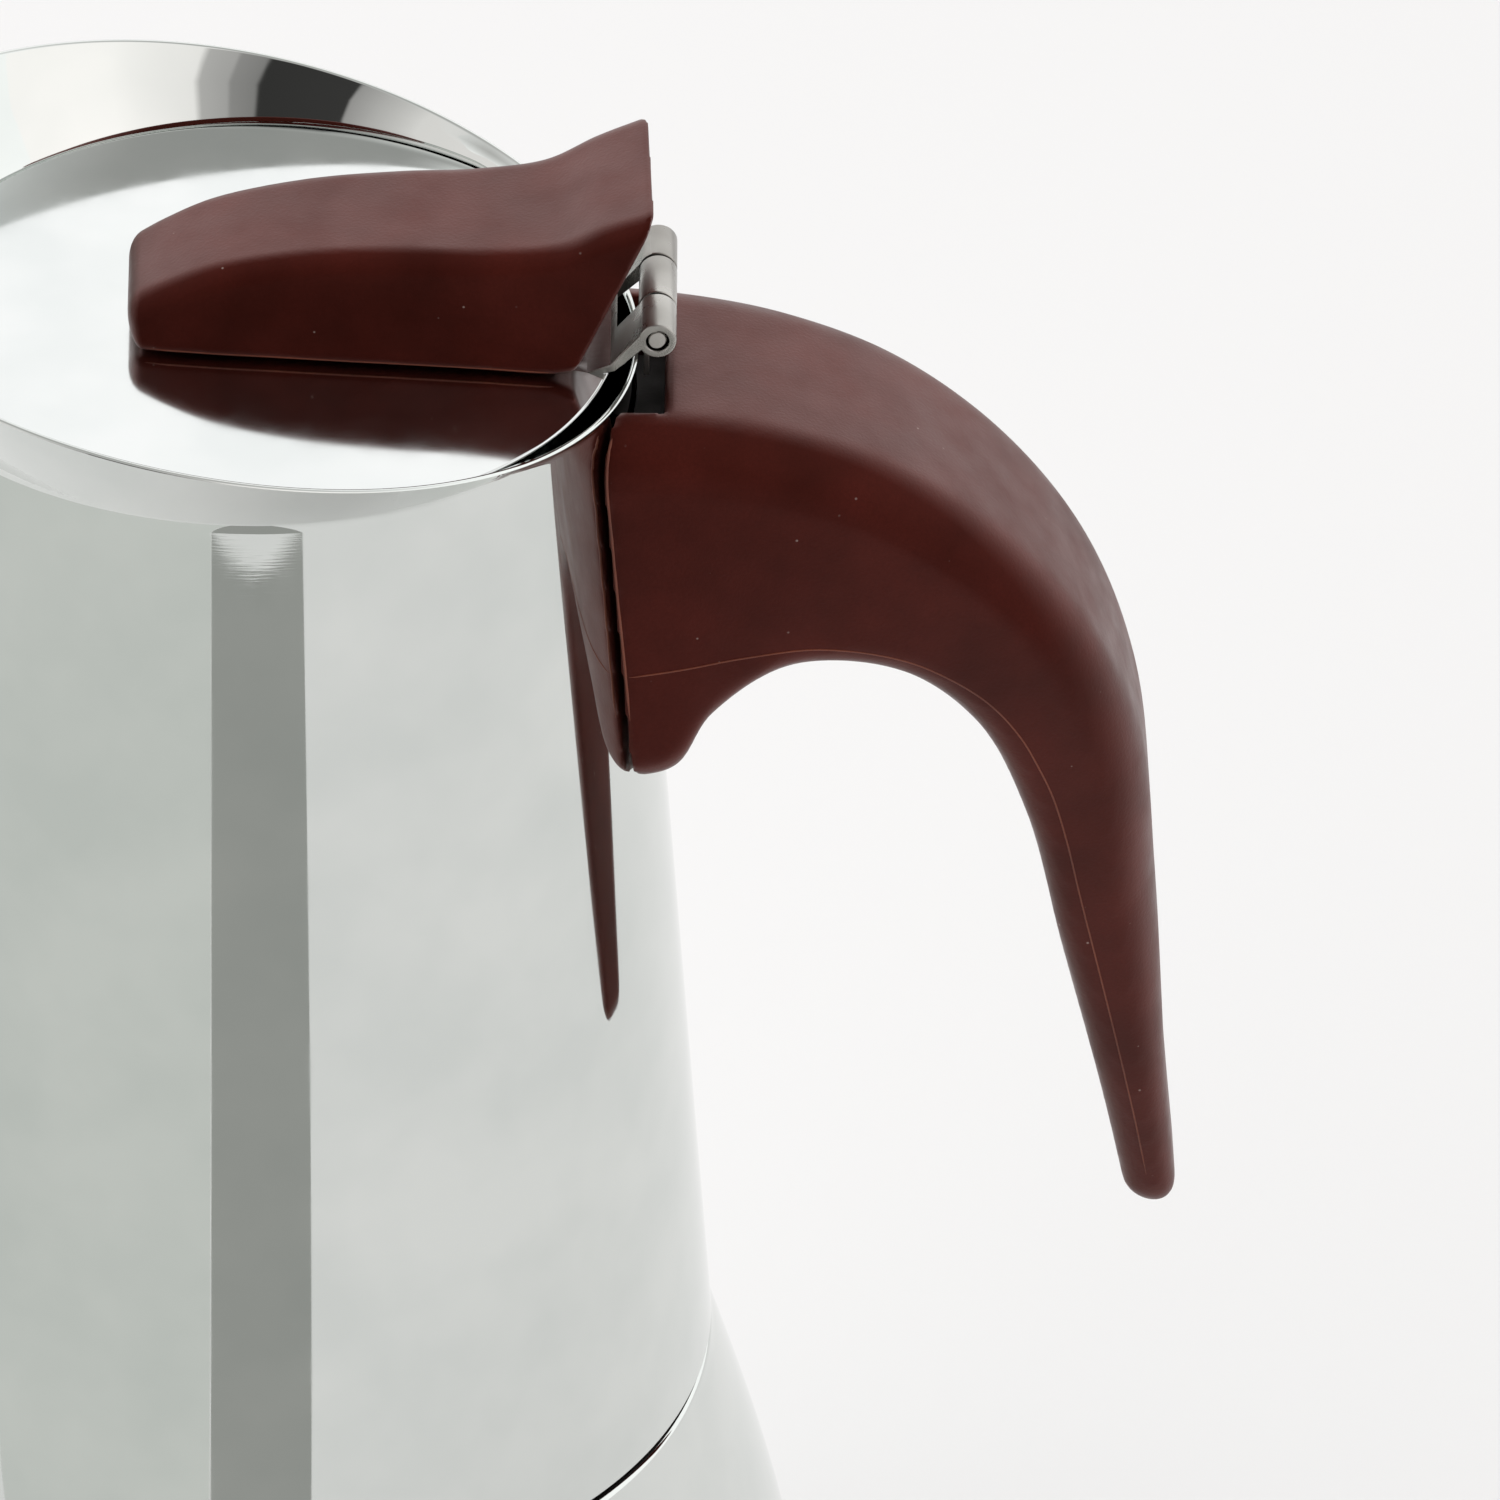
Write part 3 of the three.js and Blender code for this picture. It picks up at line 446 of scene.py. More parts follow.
@dataclass
class Solid:
    """A closed solid: points in millimetres and the faces over them."""

    points: list[Vector] = field(default_factory=list)
    faces: list[tuple[int, ...]] = field(default_factory=list)

    @classmethod
    def turned(cls, outline: Outline, segments: int = SEGMENTS) -> "Solid":
        """Turns an outline about +Z.

        Args:
            outline: radius and height of each point. It closes on itself, or on the axis.
            segments: how many steps round.

        Returns:
            The solid.
        """
        made = cls()
        rows = []
        for r, z in outline:
            if abs(r) < 1e-9:
                made.points.append(Vector((0, 0, z)))
                rows.append([len(made.points) - 1] * segments)
                continue
            start = len(made.points)
            for i in range(segments):
                angle = 2 * math.pi * i / segments
                made.points.append(Vector((r * math.cos(angle), r * math.sin(angle), z)))
            rows.append(list(range(start, start + segments)))
        on_axis = abs(outline[0][0]) < 1e-9 and abs(outline[-1][0]) < 1e-9
        pairs = list(zip(rows, rows[1:])) + ([] if on_axis else [(rows[-1], rows[0])])
        for low, high in pairs:
            for i in range(segments):
                j = (i + 1) % segments
                corners = (low[i], low[j], high[j], high[i])
                face = tuple(dict.fromkeys(corners))
                if len(face) > 2:
                    made.faces.append(face)
        return made

    @classmethod
    def rod(cls, radius: float, low: float, high: float, segments: int) -> "Solid":
        """An upright cylinder about +Z."""
        return cls.turned([(0, low), (radius, low), (radius, high), (0, high)], segments)

    @classmethod
    def skinned(cls, rings: list[list[Vector]], looped: bool = False) -> "Solid":
        """Skins a row of equal rings.

        Args:
            rings: the rings, each with the same number of points.
            looped: whether the last ring joins the first; if not, both ends are closed.

        Returns:
            The solid.
        """
        size = len(rings[0])
        made = cls([p for ring in rings for p in ring])
        for i in range(len(rings) if looped else len(rings) - 1):
            a, b = i * size, ((i + 1) % len(rings)) * size
            made.faces += [(a + j, a + (j + 1) % size, b + (j + 1) % size, b + j) for j in range(size)]
        if not looped:
            made.faces.append(tuple(range(size)))
            made.faces.append(tuple(range((len(rings) - 1) * size, len(rings) * size)))
        return made

    @classmethod
    def slab(cls, outline: Outline, near: float, far: float, edge: float = 0.0) -> "Solid":
        """Draws an outline in x and z and stretches it along y.

        Args:
            outline: the closed outline.
            near: lower y.
            far: higher y.
            edge: width of the small rounding at both faces.

        Returns:
            The solid.
        """
        steps = [(near, edge), (near + edge, 0), (far - edge, 0), (far, edge)] if edge else [(near, 0),
                                                                                             (far, 0)]
        rings = []
        for y, inset in steps:
            ring = []
            for i, (x, z) in enumerate(outline):
                here = Vector((x, z))
                if inset:
                    along = Vector(outline[(i + 1) % len(outline)]) - Vector(outline[i - 1])
                    side = Vector((along.y, -along.x)).normalized()
                    winding = 1 if cls.area(outline) > 0 else -1
                    here -= side * inset * winding
                ring.append(Vector((here.x, y, here.y)))
            rings.append(ring)
        return cls.skinned(rings)

    @staticmethod
    def area(outline: Outline) -> float:
        """Signed area of an outline."""
        pairs = zip(outline, outline[1:] + outline[:1])
        return sum(a[0] * b[1] - b[0] * a[1] for a, b in pairs) / 2

    def placed(self, matrix: Matrix) -> "Solid":
        """A copy moved by a matrix in millimetres."""
        return Solid([matrix @ p for p in self.points], list(self.faces))

    def mesh(self, name: str) -> bpy.types.Mesh:
        """A mesh in metres with its faces pointing out.

        Args:
            name: the mesh's name.

        Returns:
            The mesh.
        """
        mesh = bpy.data.meshes.new(name)
        mesh.from_pydata([p * MM for p in self.points], [], self.faces)
        shape = bmesh.new()
        shape.from_mesh(mesh)
        bmesh.ops.recalc_face_normals(shape, faces=shape.faces)
        shape.to_mesh(mesh)
        shape.free()
        return mesh


def link(name: str, mesh: bpy.types.Mesh) -> bpy.types.Object:
    """Puts a mesh into the scene as an object at the origin."""
    made = bpy.data.objects.new(name, mesh)
    bpy.context.scene.collection.objects.link(made)
    return made


def settle(piece: bpy.types.Object) -> bpy.types.Object:
    """Turns a piece's modifiers into plain mesh.

    Args:
        piece: the piece with live modifiers.

    Returns:
        The same piece with none.
    """
    bpy.context.view_layer.update()
    graph = bpy.context.evaluated_depsgraph_get()
    mesh = bpy.data.meshes.new_from_object(piece.evaluated_get(graph), preserve_all_data_layers=True,
                                           depsgraph=graph)
    piece.modifiers.clear()
    piece.data = mesh
    return piece


def combine(piece: bpy.types.Object, tools: list[Solid], operation: str = "DIFFERENCE") -> bpy.types.Object:
    """Cuts or joins a piece with some solids.

    Args:
        piece: the piece.
        tools: the solids.
        operation: DIFFERENCE, UNION or INTERSECT.

    Returns:
        The piece.
    """
    for tool in tools:
        other = link("tool", tool.mesh("tool"))
        step = piece.modifiers.new("join", "BOOLEAN")
        step.operation = operation
        step.object = other
        step.solver = "EXACT"
        settle(piece)
        bpy.data.objects.remove(other)
    return piece


def smooth(mesh: bpy.types.Mesh, angle: float = 32.0) -> None:
    """Shades a mesh smooth but keeps edges sharper than the angle."""
    mesh.shade_smooth()
    mesh.set_sharp_from_angle(angle=math.radians(angle))


# ---------------------------------------------------------------- geometry nodes


def group_input(tree: bpy.types.NodeTree, name: str, kind: str) -> None:
    """Adds a named input to a geometry tree."""
    tree.interface.new_socket(name, in_out="INPUT", socket_type=kind)


def helix_tree() -> bpy.types.NodeTree:
    """The rule of a round ridge or wire that climbs about +Z and fades at both ends.

    Returns:
        The tree, with inputs for radius, start, pitch, turns, thickness, fade and material.
    """
    tree = bpy.data.node_groups.new("Helix", "GeometryNodeTree")
    for name in ("Radius", "Start", "Pitch", "Turns", "Thickness", "Fade"):
        group_input(tree, name, "NodeSocketFloat")
    group_input(tree, "Material", "NodeSocketMaterial")
    tree.interface.new_socket("Geometry", in_out="OUTPUT", socket_type="NodeSocketGeometry")
    given = add_node(tree, "NodeGroupInput").outputs
    rise = add_node(tree, "ShaderNodeMath", {0: given["Pitch"], 1: given["Turns"]}, operation="MULTIPLY")
    spiral = add_node(tree, "GeometryNodeCurveSpiral", {
        "Resolution": 72, "Rotations": given["Turns"], "Start Radius": given["Radius"],
        "End Radius": given["Radius"], "Height": rise.outputs[0],
    })
    share = add_node(tree, "GeometryNodeSplineParameter").outputs["Factor"]
    rest = add_node(tree, "ShaderNodeMath", {0: 1.0, 1: share}, operation="SUBTRACT")
    least = add_node(tree, "ShaderNodeMath", {0: share, 1: rest.outputs[0]}, operation="MINIMUM")
    ratio = add_node(tree, "ShaderNodeMath", {0: least.outputs[0], 1: given["Fade"]}, operation="DIVIDE")
    capped = add_node(tree, "ShaderNodeMath", {0: ratio.outputs[0], 1: 1.0}, operation="MINIMUM")
    floor = add_node(tree, "ShaderNodeMath", {0: capped.outputs[0], 1: 0.05}, operation="MAXIMUM")
    sized = add_node(tree, "GeometryNodeSetCurveRadius",
                     {"Curve": spiral.outputs[0], "Radius": floor.outputs[0]})
    wire = add_node(tree, "GeometryNodeCurvePrimitiveCircle",
                    {"Resolution": 14, "Radius": given["Thickness"]})
    swept = add_node(tree, "GeometryNodeCurveToMesh", {
        "Curve": sized.outputs[0], "Profile Curve": wire.outputs[0],
        "Scale": floor.outputs[0], "Fill Caps": True,
    })
    lift = add_node(tree, "ShaderNodeCombineXYZ", {"Z": given["Start"]})
    raised = add_node(tree, "GeometryNodeTransform",
                      {"Geometry": swept.outputs[0], "Translation": lift.outputs[0]})
    real = add_node(tree, "GeometryNodeRealizeInstances", {"Geometry": raised.outputs[0]})
    dressed = add_node(tree, "GeometryNodeSetMaterial",
                       {"Geometry": real.outputs[0], "Material": given["Material"]})
    add_node(tree, "NodeGroupOutput", {"Geometry": dressed.outputs[0]})
    return tree


def perforation_tree() -> bpy.types.NodeTree:
    """The rule of a plate with rings of round holes, six more in each ring.

    Returns:
        The tree, with inputs for the plate, hole radius, ring pitch, ring count, height and material.
    """
    tree = bpy.data.node_groups.new("Perforation", "GeometryNodeTree")
    tree.interface.new_socket("Geometry", in_out="INPUT", socket_type="NodeSocketGeometry")
    for name in ("Hole", "Pitch", "Height"):
        group_input(tree, name, "NodeSocketFloat")
    group_input(tree, "Holes", "NodeSocketInt")
    group_input(tree, "Material", "NodeSocketMaterial")
    tree.interface.new_socket("Geometry", in_out="OUTPUT", socket_type="NodeSocketGeometry")
    given = add_node(tree, "NodeGroupInput").outputs
    spots = add_node(tree, "GeometryNodeMeshLine", {"Count": given["Holes"]})
    # The hole's number gives its ring, ring k holding six k holes, and its turn on that ring.
    number = add_node(tree, "GeometryNodeInputIndex").outputs[0]
    value = {"number": number, "pitch": given["Pitch"]}
    for name, operation, *parts in (
        ("third", "DIVIDE", "number", 3.0), ("shifted", "ADD", "third", 0.25), ("root", "POWER", "shifted",
                                                                                0.5),
        ("ringed", "ADD", "root", 0.499), ("ring", "FLOOR", "ringed"), ("square", "MULTIPLY", "ring", "ring"),
        ("first", "SUBTRACT", "square", "ring"), ("start", "MULTIPLY", "first", 3.0),
        ("within", "SUBTRACT", "number", "start"), ("divisor", "MAXIMUM", "ring", 1.0),
        ("turn", "DIVIDE", "within", "divisor"), ("angle", "MULTIPLY", "turn", math.pi / 3),
        ("reach", "MULTIPLY", "ring", "pitch"), ("cosine", "COSINE", "angle"), ("sine", "SINE", "angle"),
        ("x", "MULTIPLY", "cosine", "reach"), ("y", "MULTIPLY", "sine", "reach"),
    ):
        inputs = {socket: value.get(part, part) for socket, part in enumerate(parts)}
        value[name] = add_node(tree, "ShaderNodeMath", inputs, operation=operation).outputs[0]
    place = add_node(tree, "ShaderNodeCombineXYZ", {"X": value["x"], "Y": value["y"], "Z": given["Height"]})
    put = add_node(tree, "GeometryNodeSetPosition",
                   {"Geometry": spots.outputs[0], "Position": place.outputs[0]})
    drill = add_node(tree, "GeometryNodeMeshCylinder",
                     {"Vertices": 16, "Radius": given["Hole"], "Depth": 4 * MM})
    drills = add_node(tree, "GeometryNodeInstanceOnPoints",
                      {"Points": put.outputs[0], "Instance": drill.outputs[0]})
    cutters = add_node(tree, "GeometryNodeRealizeInstances", {"Geometry": drills.outputs[0]})
    cut = add_node(tree, "GeometryNodeMeshBoolean", operation="DIFFERENCE", solver="EXACT")
    tree.links.new(given["Geometry"], cut.inputs["Mesh 1"])
    tree.links.new(cutters.outputs[0], cut.inputs["Mesh 2"])
    real = add_node(tree, "GeometryNodeRealizeInstances", {"Geometry": cut.outputs["Mesh"]})
    dressed = add_node(tree, "GeometryNodeSetMaterial",
                       {"Geometry": real.outputs[0], "Material": given["Material"]})
    add_node(tree, "NodeGroupOutput", {"Geometry": dressed.outputs[0]})
    return tree


def grown(name: str, tree: bpy.types.NodeTree, values: dict,
          base: bpy.types.Mesh | None = None) -> bpy.types.Object:
    """Grows a piece from a geometry tree and turns it into plain mesh.

    Args:
        name: the piece's name.
        tree: the rule.
        values: what each named input gets.
        base: the mesh that the rule starts from, if any.

    Returns:
        The piece.
    """
    piece = link(name, base or bpy.data.meshes.new(name))
    rule = piece.modifiers.new("rule", "NODES")
    rule.node_group = tree
    for socket in tree.interface.items_tree:
        if socket.item_type == "SOCKET" and socket.in_out == "INPUT" and socket.name in values:
            rule[socket.identifier] = values[socket.name]
    return settle(piece)


# ---------------------------------------------------------------- assemblies


@dataclass
class Assembly:
    """Pieces that stand for CAD nodes and ride on their bodies."""

    finishes: dict[str, bpy.types.Material]
    helix: bpy.types.NodeTree
    perforation: bpy.types.NodeTree

    def show(self, piece: bpy.types.Object, body: str, look: str, slot: Finish, *nodes: str,
             angle: float = 32.0) -> bpy.types.Object:
        """Dresses a finished piece and ties it to the frame.

        Args:
            piece: the piece.
            body: the CAD body that it rides on.
            look: the short name of its finish.
            slot: the record's slot; not used.
            nodes: the CAD nodes that it stands for.
            angle: edges sharper than this stay sharp, in degrees.

        Returns:
            The piece.
        """
        piece.data.materials.clear()
        piece.data.materials.append(self.finishes[look])
        smooth(piece.data, angle)
        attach(piece, body)
        if nodes:
            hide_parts(*nodes)
        return piece

    def patch(self, piece: bpy.types.Object, look: str, covers: Callable[[Vector], bool]) -> None:
        """Gives some faces of a dressed piece another finish.

        Args:
            piece: the piece.
            look: the short name of the other finish.
            covers: tells from a face's middle, in millimetres, whether it has it.
        """
        piece.data.materials.append(self.finishes[look])
        for face in piece.data.polygons:
            if covers(face.center / MM):
                face.material_index = len(piece.data.materials) - 1

    def turned(self, name: str, outline: Outline, place: Matrix | None = None,
               segments: int = SEGMENTS) -> bpy.types.Object:
        """Turns an outline into a piece.

        Args:
            name: the piece's name.
            outline: its radius and height.
            place: where it goes, if not as drawn.
            segments: how many steps round.

        Returns:
            The piece.
        """
        solid = Solid.turned(outline, segments)
        if place:
            solid = solid.placed(place)
        return link(name, solid.mesh(name))


def screw_outline(length: float, radius: float = 1.5, head: float = 2.9, height: float = 1.8) -> Outline:
    """A domed screw drawn point up, with the underside of its head at zero.

    Args:
        length: of the shank.
        radius: of the shank.
        head: radius of the head.
        height: of the head.

    Returns:
        The outline.
    """
    shape = [(0.0, -height), (head - 0.8, -height), (head, -height + 0.8), (head, 0.0),
             (radius - 0.25, 0.0), (radius - 0.25, length - 1.2), (0.3, length), (0.0, length)]
    return soften(shape, 0.3)


@dataclass
class Boiler(Assembly):
    """The lower vessel with its glued base disc."""

    def build(self) -> None:
        """Makes the shell, its rolled thread and the base disc."""
        lean = 56.9
        side = bezier([(52, 12), (52, 12 + 0.39 * lean), (46.9, 68.9 - 0.34 * lean), (41.1, 68.1)], 44)
        path = [(0.0, 3.3), (20.0, 3.3)] + arc((45, 10.3), 7, -90, 0, 14) + side
        path += arc((40.3, 68.2), 0.8, 20, 90, 7) + arc((37.005, 69.8), 0.8, 270, 180, 7)
        path += [(SIZE.neck_radius, 76.0), (SIZE.neck_radius, SIZE.neck_top)]
        outline = sheet(path, 0.7)
        top = len(path) - 1
        outline = outline[:top] + soften(outline[top - 1 : top + 3], 0.3)[1:-1] + outline[top + 2 :]
        shell = self.turned("boiler_shell_look", outline)
        self.show(shell, "boiler", "mirror", Finish.POLISHED, "boiler_shell")
        # The shoulder under the collector's edge gets near-black steel: painted shade cast by the collector's
        # edge.
        self.patch(shell, "painted_shade", lambda at: 68.9 < at.z < 70.3 and 36.9 < math.hypot(at.x, at.y) < 40.7)
        ridge = grown("boiler_thread", self.helix, {
            "Radius": (SIZE.neck_radius + 0.1) * MM, "Start": 70.9 * MM, "Pitch": 3 * MM, "Turns": 2.25,
            "Thickness": 0.7 * MM, "Fade": 0.07, "Material": self.finishes["mirror"],
        })
        self.show(ridge, "boiler", "mirror", Finish.POLISHED)
        rim = [(0.0, 0.0), (46.0, 0.0), (46.0, 3.0), (0.0, 3.0)]
        self.show(self.turned("base_disc_look", soften(rim, 1.0)), "boiler", "satin", Finish.SATIN,
                  "base_disc")


@dataclass
class SafetyValve(Assembly):
    """The brass valve in the boiler's side, with its sprung plunger."""

    height: float = 34.0
    seat_radius: float = 50.185
    lean: float = 0.167169

    @property
    def place(self) -> Matrix:
        """Where the valve sits; its own +Z points out of the boiler."""
        turn = Matrix.Rotation(math.pi / 2 - self.lean, 4, "X")
        return Matrix.Rotation(math.pi, 4, "Z") @ Matrix.Translation((0, -self.seat_radius,
                                                                      self.height)) @ turn

    def hexagon(self, name: str, across: float, low: float, high: float, cut: float) -> bpy.types.Object:
        """A hexagon with its corners turned off.

        Args:
            name: the piece's name.
            across: distance between flats.
            low: lower face.
            high: higher face.
            cut: depth of the corner chamfer.

        Returns:
            The piece.
        """
        r = across / math.sqrt(3)
        prism = Solid.rod(r, low, high, 6)
        cone = [(0, low), (r - cut, low), (r, low + 0.5 * cut), (r, high - 0.5 * cut), (r - cut, high),
                (0, high)]
        return combine(link(name, prism.mesh(name)), [Solid.turned(soften(cone, 0.1), 96)], "INTERSECT")

    def build(self) -> None:
        """Makes the valve's six pieces."""
        washer = soften([(3.4, 0.3), (6.2, 0.3), (6.2, 1.1), (3.4, 1.1)], 0.12, True)
        self.show(self.turned("valve_washer_look", washer, self.place, 96), "boiler", "fibre", Finish.FIBRE,
                  "valve_washer")
        body = self.hexagon("valve_body_look", 11, 1.4, 4.4, 0.7)
        barrel = soften([(0, 1.4), (4.2, 1.4), (4.2, 8.2), (0, 8.2)], 0.15)
        shank = soften([(0, -5), (3, -5), (3, 2.4), (0, 2.4)], 0.3)
        combine(body, [Solid.turned(barrel, 96), Solid.turned(shank, 96)], "UNION")
        combine(body, [Solid.rod(1.2, -6, 9, 48), Solid.rod(3, 2.6, 9, 64)])
        body.data.transform(self.millimetres(self.place))
        self.show(body, "boiler", "brass", Finish.BRASS, "valve_body")
        nut = self.hexagon("valve_nut_look", 9.5, -3.9, -1.5, 0.6)
        combine(nut, [Solid.rod(3.3, -5, 0, 64)])
        nut.data.transform(self.millimetres(self.place))
        self.show(nut, "boiler", "brass", Finish.BRASS, "valve_nut")
        cap = soften([(1.3, 8.5), (4.2, 8.5), (4.2, 9.1), (3.8, 9.5), (1.3, 9.5)], 0.12, True)
        self.show(self.turned("valve_cap_look", cap, self.place, 96), "boiler", "brass", Finish.BRASS,
                  "valve_cap")
        plunger = soften([(0, 2.9), (2.5, 2.9), (2.5, 3.7), (0.98, 3.7), (0.98, 10.39), (0, 10.39)], 0.3)
        self.show(self.turned("valve_plunger_look", plunger, self.place, 64), "valve_plunger", "satin",
                  Finish.SATIN, "valve_plunger")
        spring = grown("valve_spring_look", self.helix, {
            "Radius": 2 * MM, "Start": 5.4 * MM, "Pitch": 0.51 * MM, "Turns": 5.0,
            "Thickness": 0.24 * MM, "Fade": 0.001, "Material": self.finishes["satin"],
        })
        spring.data.transform(self.millimetres(self.place))
        self.show(spring, "boiler", "satin", Finish.SATIN, "valve_spring")
        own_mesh(spring)

    @staticmethod
    def millimetres(place: Matrix) -> Matrix:
        """A placing matrix for meshes in metres."""
        made = place.copy()
        made.translation *= MM
        return made


@dataclass
class BrewGroup(Assembly):
    """What lies between boiler and collector: funnel, screen, gasket and filter plate."""

    def build(self) -> None:
        """Makes the four pieces."""
        path = [(5.0, 9.0), (5.0, 30.0), (5.0, 55.8), (5.6, 57.3), (32.205, 60.5)]
        path += arc((32.705, 62.7), 2, -60, 0, 8) + [(34.705, 78.3), (35.205, 79.1), (35.705, 79.3),
                                                     (36.605, 79.3)]
        self.show(self.turned("funnel_look", soften(sheet(soften(path, 1.0), 0.7), 0.2, True)), "funnel",
                  "satin",
                  Finish.SATIN, "funnel")
        plate = Solid.turned(soften([(0, 62.6), (32.0, 62.6), (32.0, 63.2), (0, 63.2)], 0.15))
        self.perforated("funnel_screen_look", plate, 62.9, "funnel", "funnel_screen")
        ring = soften([(29.005, 80.4), (36.605, 80.4), (36.605, 82.9), (29.005, 82.9)], 0.6, True)
        self.show(self.turned("gasket_look", ring), "gasket", "silicone", Finish.SILICONE, "gasket")
        bead = [(0, 83.2), (25.8, 83.2), (26.9, 82.7), (28.0, 83.2), (36.405, 83.2), (36.405, 83.8),
                (0, 83.8)]
        plate = Solid.turned(soften(bead, 0.25))
        self.perforated("filter_plate_look", plate, 83.5, "filter_plate", "filter_plate")

    def perforated(self, name: str, plate: Solid, height: float, body: str, node: str) -> None:
        """Makes a plate with rings of holes.

        Args:
            name: the piece's name.
            plate: the plate without holes.
            height: where the holes' middles lie.
            body: the CAD body that it rides on.
            node: the CAD node that it stands for.
        """
        rings = 9
        piece = grown(name, self.perforation, {
            "Hole": 0.65 * MM, "Pitch": 2.6 * MM, "Height": height * MM,
            "Holes": 1 + 3 * rings * (rings + 1), "Material": self.finishes["satin"],
        }, plate.mesh(name))
        self.show(piece, body, "satin", Finish.SATIN, node)


@dataclass
class Collector(Assembly):
    """The upper vessel with its spout, floor, column and thread ring."""

    def rim(self, angle: float) -> tuple[float, float]:
        """The rim's radius and height in one direction.

        Args:
            angle: the direction about the axis, in radians.

        Returns:
            Radius and height above the collector's bottom.
        """
        length, width = SIZE.bend_radius + SIZE.rim_length, SIZE.bend_radius + SIZE.rim_width
        c, s, e = math.cos(angle) / length, math.sin(angle) / width, -SIZE.rim_centre / length
        a = c * c + s * s
        radius = (-c * e + math.sqrt(c * c * e * e - a * (e * e - 1))) / a
        x = radius * math.cos(angle)
        return radius, SIZE.bend_height + SIZE.rim_rise - SIZE.rim_fall * x - SIZE.rim_curve * x * x

    def slice(self, angle: float) -> list[Vector]:
        """One upright slice through the wall.

        Args:
            angle: the direction about the axis, in radians.

        Returns:
            The slice's closed ring of points.
        """
        r, z = self.rim(angle)
        bend = min(SIZE.bend_height + 0.5 * (1 + math.sin(angle)), z - 1.2)
        at_bend = SIZE.bottom_radius - (SIZE.bottom_radius - SIZE.bend_radius) * bend / SIZE.bend_height
        outer = [(SIZE.bottom_radius, 0.0), (at_bend, bend), (r, z)]
        wall = SIZE.wall
        inner = [(r - wall, z), (at_bend - wall, bend), (SIZE.bottom_radius - wall, 0.0)]
        out = self.curved(outer, 0.6)
        back = self.curved(inner, 0.8)
        lip = [(r - 0.04, z - 0.16), (r - 0.14, z - 0.04), (r - 0.3, z), (r - 0.46, z - 0.04),
               (r - 0.56, z - 0.16)]
        ring = out[:-1] + lip + back[1:]
        return [Vector((a * math.cos(angle), a * math.sin(angle), b + SIZE.seat)) for a, b in ring]

    @staticmethod
    def curved(three: Outline, reach: float) -> Outline:
        """Three points with the middle corner rounded by an even number of points."""
        a, p, b = (Vector(q) for q in three)
        first = p + (a - p).normalized() * reach
        last = p + (b - p).normalized() * min(reach, 0.45 * (b - p).length)
        made = [tuple(a), tuple(a.lerp(first, 0.5))]
        for k in range(11):
            t = k / 10
            q = first * (1 - t) ** 2 + p * 2 * t * (1 - t) + last * t * t
            made.append((q.x, q.y))
        return made + [tuple(last.lerp(b, 0.5)), tuple(b)]

    def build(self) -> None:
        """Makes the shell and what is inside it."""
        count = 256
        shell = Solid.skinned([self.slice(2 * math.pi * i / count) for i in range(count)], True)
        piece = link("collector_shell_look", shell.mesh("collector_shell_look"))
        self.show(piece, "collector", "mirror", Finish.POLISHED, "collector_shell", angle=50)
        ring = [(38.705, 83.9), (38.705, 71.4), (39.1, 70.9), (39.8, 70.9)]
        self.show(self.turned("thread_ring_look", soften(sheet(soften(ring, 0.6), -0.6), 0.15, True)),
                  "collector",
                  "satin", Finish.SATIN, "thread_ring")
        ridge = grown("collector_thread", self.helix, {
            "Radius": 37.955 * MM, "Start": 72.4 * MM, "Pitch": 3 * MM, "Turns": 2.25,
            "Thickness": 0.65 * MM, "Fade": 0.07, "Material": self.finishes["satin"],
        })
        self.show(ridge, "collector", "satin", Finish.SATIN)
        floor = [(8.2, 86.2), (8.2, 85.2), (9.0, 84.2), (37.65, 84.2), (38.65, 85.2), (38.65, 87.2)]
        self.show(self.turned("collector_floor_look", soften(sheet(soften(floor, 0.8), 0.7), 0.15, True)),
                  "collector", "satin", Finish.SATIN, "collector_floor")
        column = [(12.3, 85.9), (10.6, 86.7), (9.9, 88.9), (6.2, 134.0)]
        tube = self.turned("coffee_column_look", soften(sheet(soften(column, 1.5), 0.7), 0.15, True), None,
                           128)
        combine(tube, [Solid.slab([(-3, 125), (3, 125), (3, 130), (-3, 130)], -20, 20)])
        self.show(tube, "collector", "satin", Finish.SATIN, "coffee_column")
        cap = [(7.1, 131.9), (7.1, 134.3), (5.9, 136.1), (3.55, 137.06), (0.0, 137.3)]
        outline = sheet(soften(cap, 1.2), 0.6)
        half = len(outline) // 2
        self.show(self.turned("column_cap_look", outline[half:] + outline[:half], None, 128), "collector",
                  "satin",
                  Finish.SATIN, "column_cap")


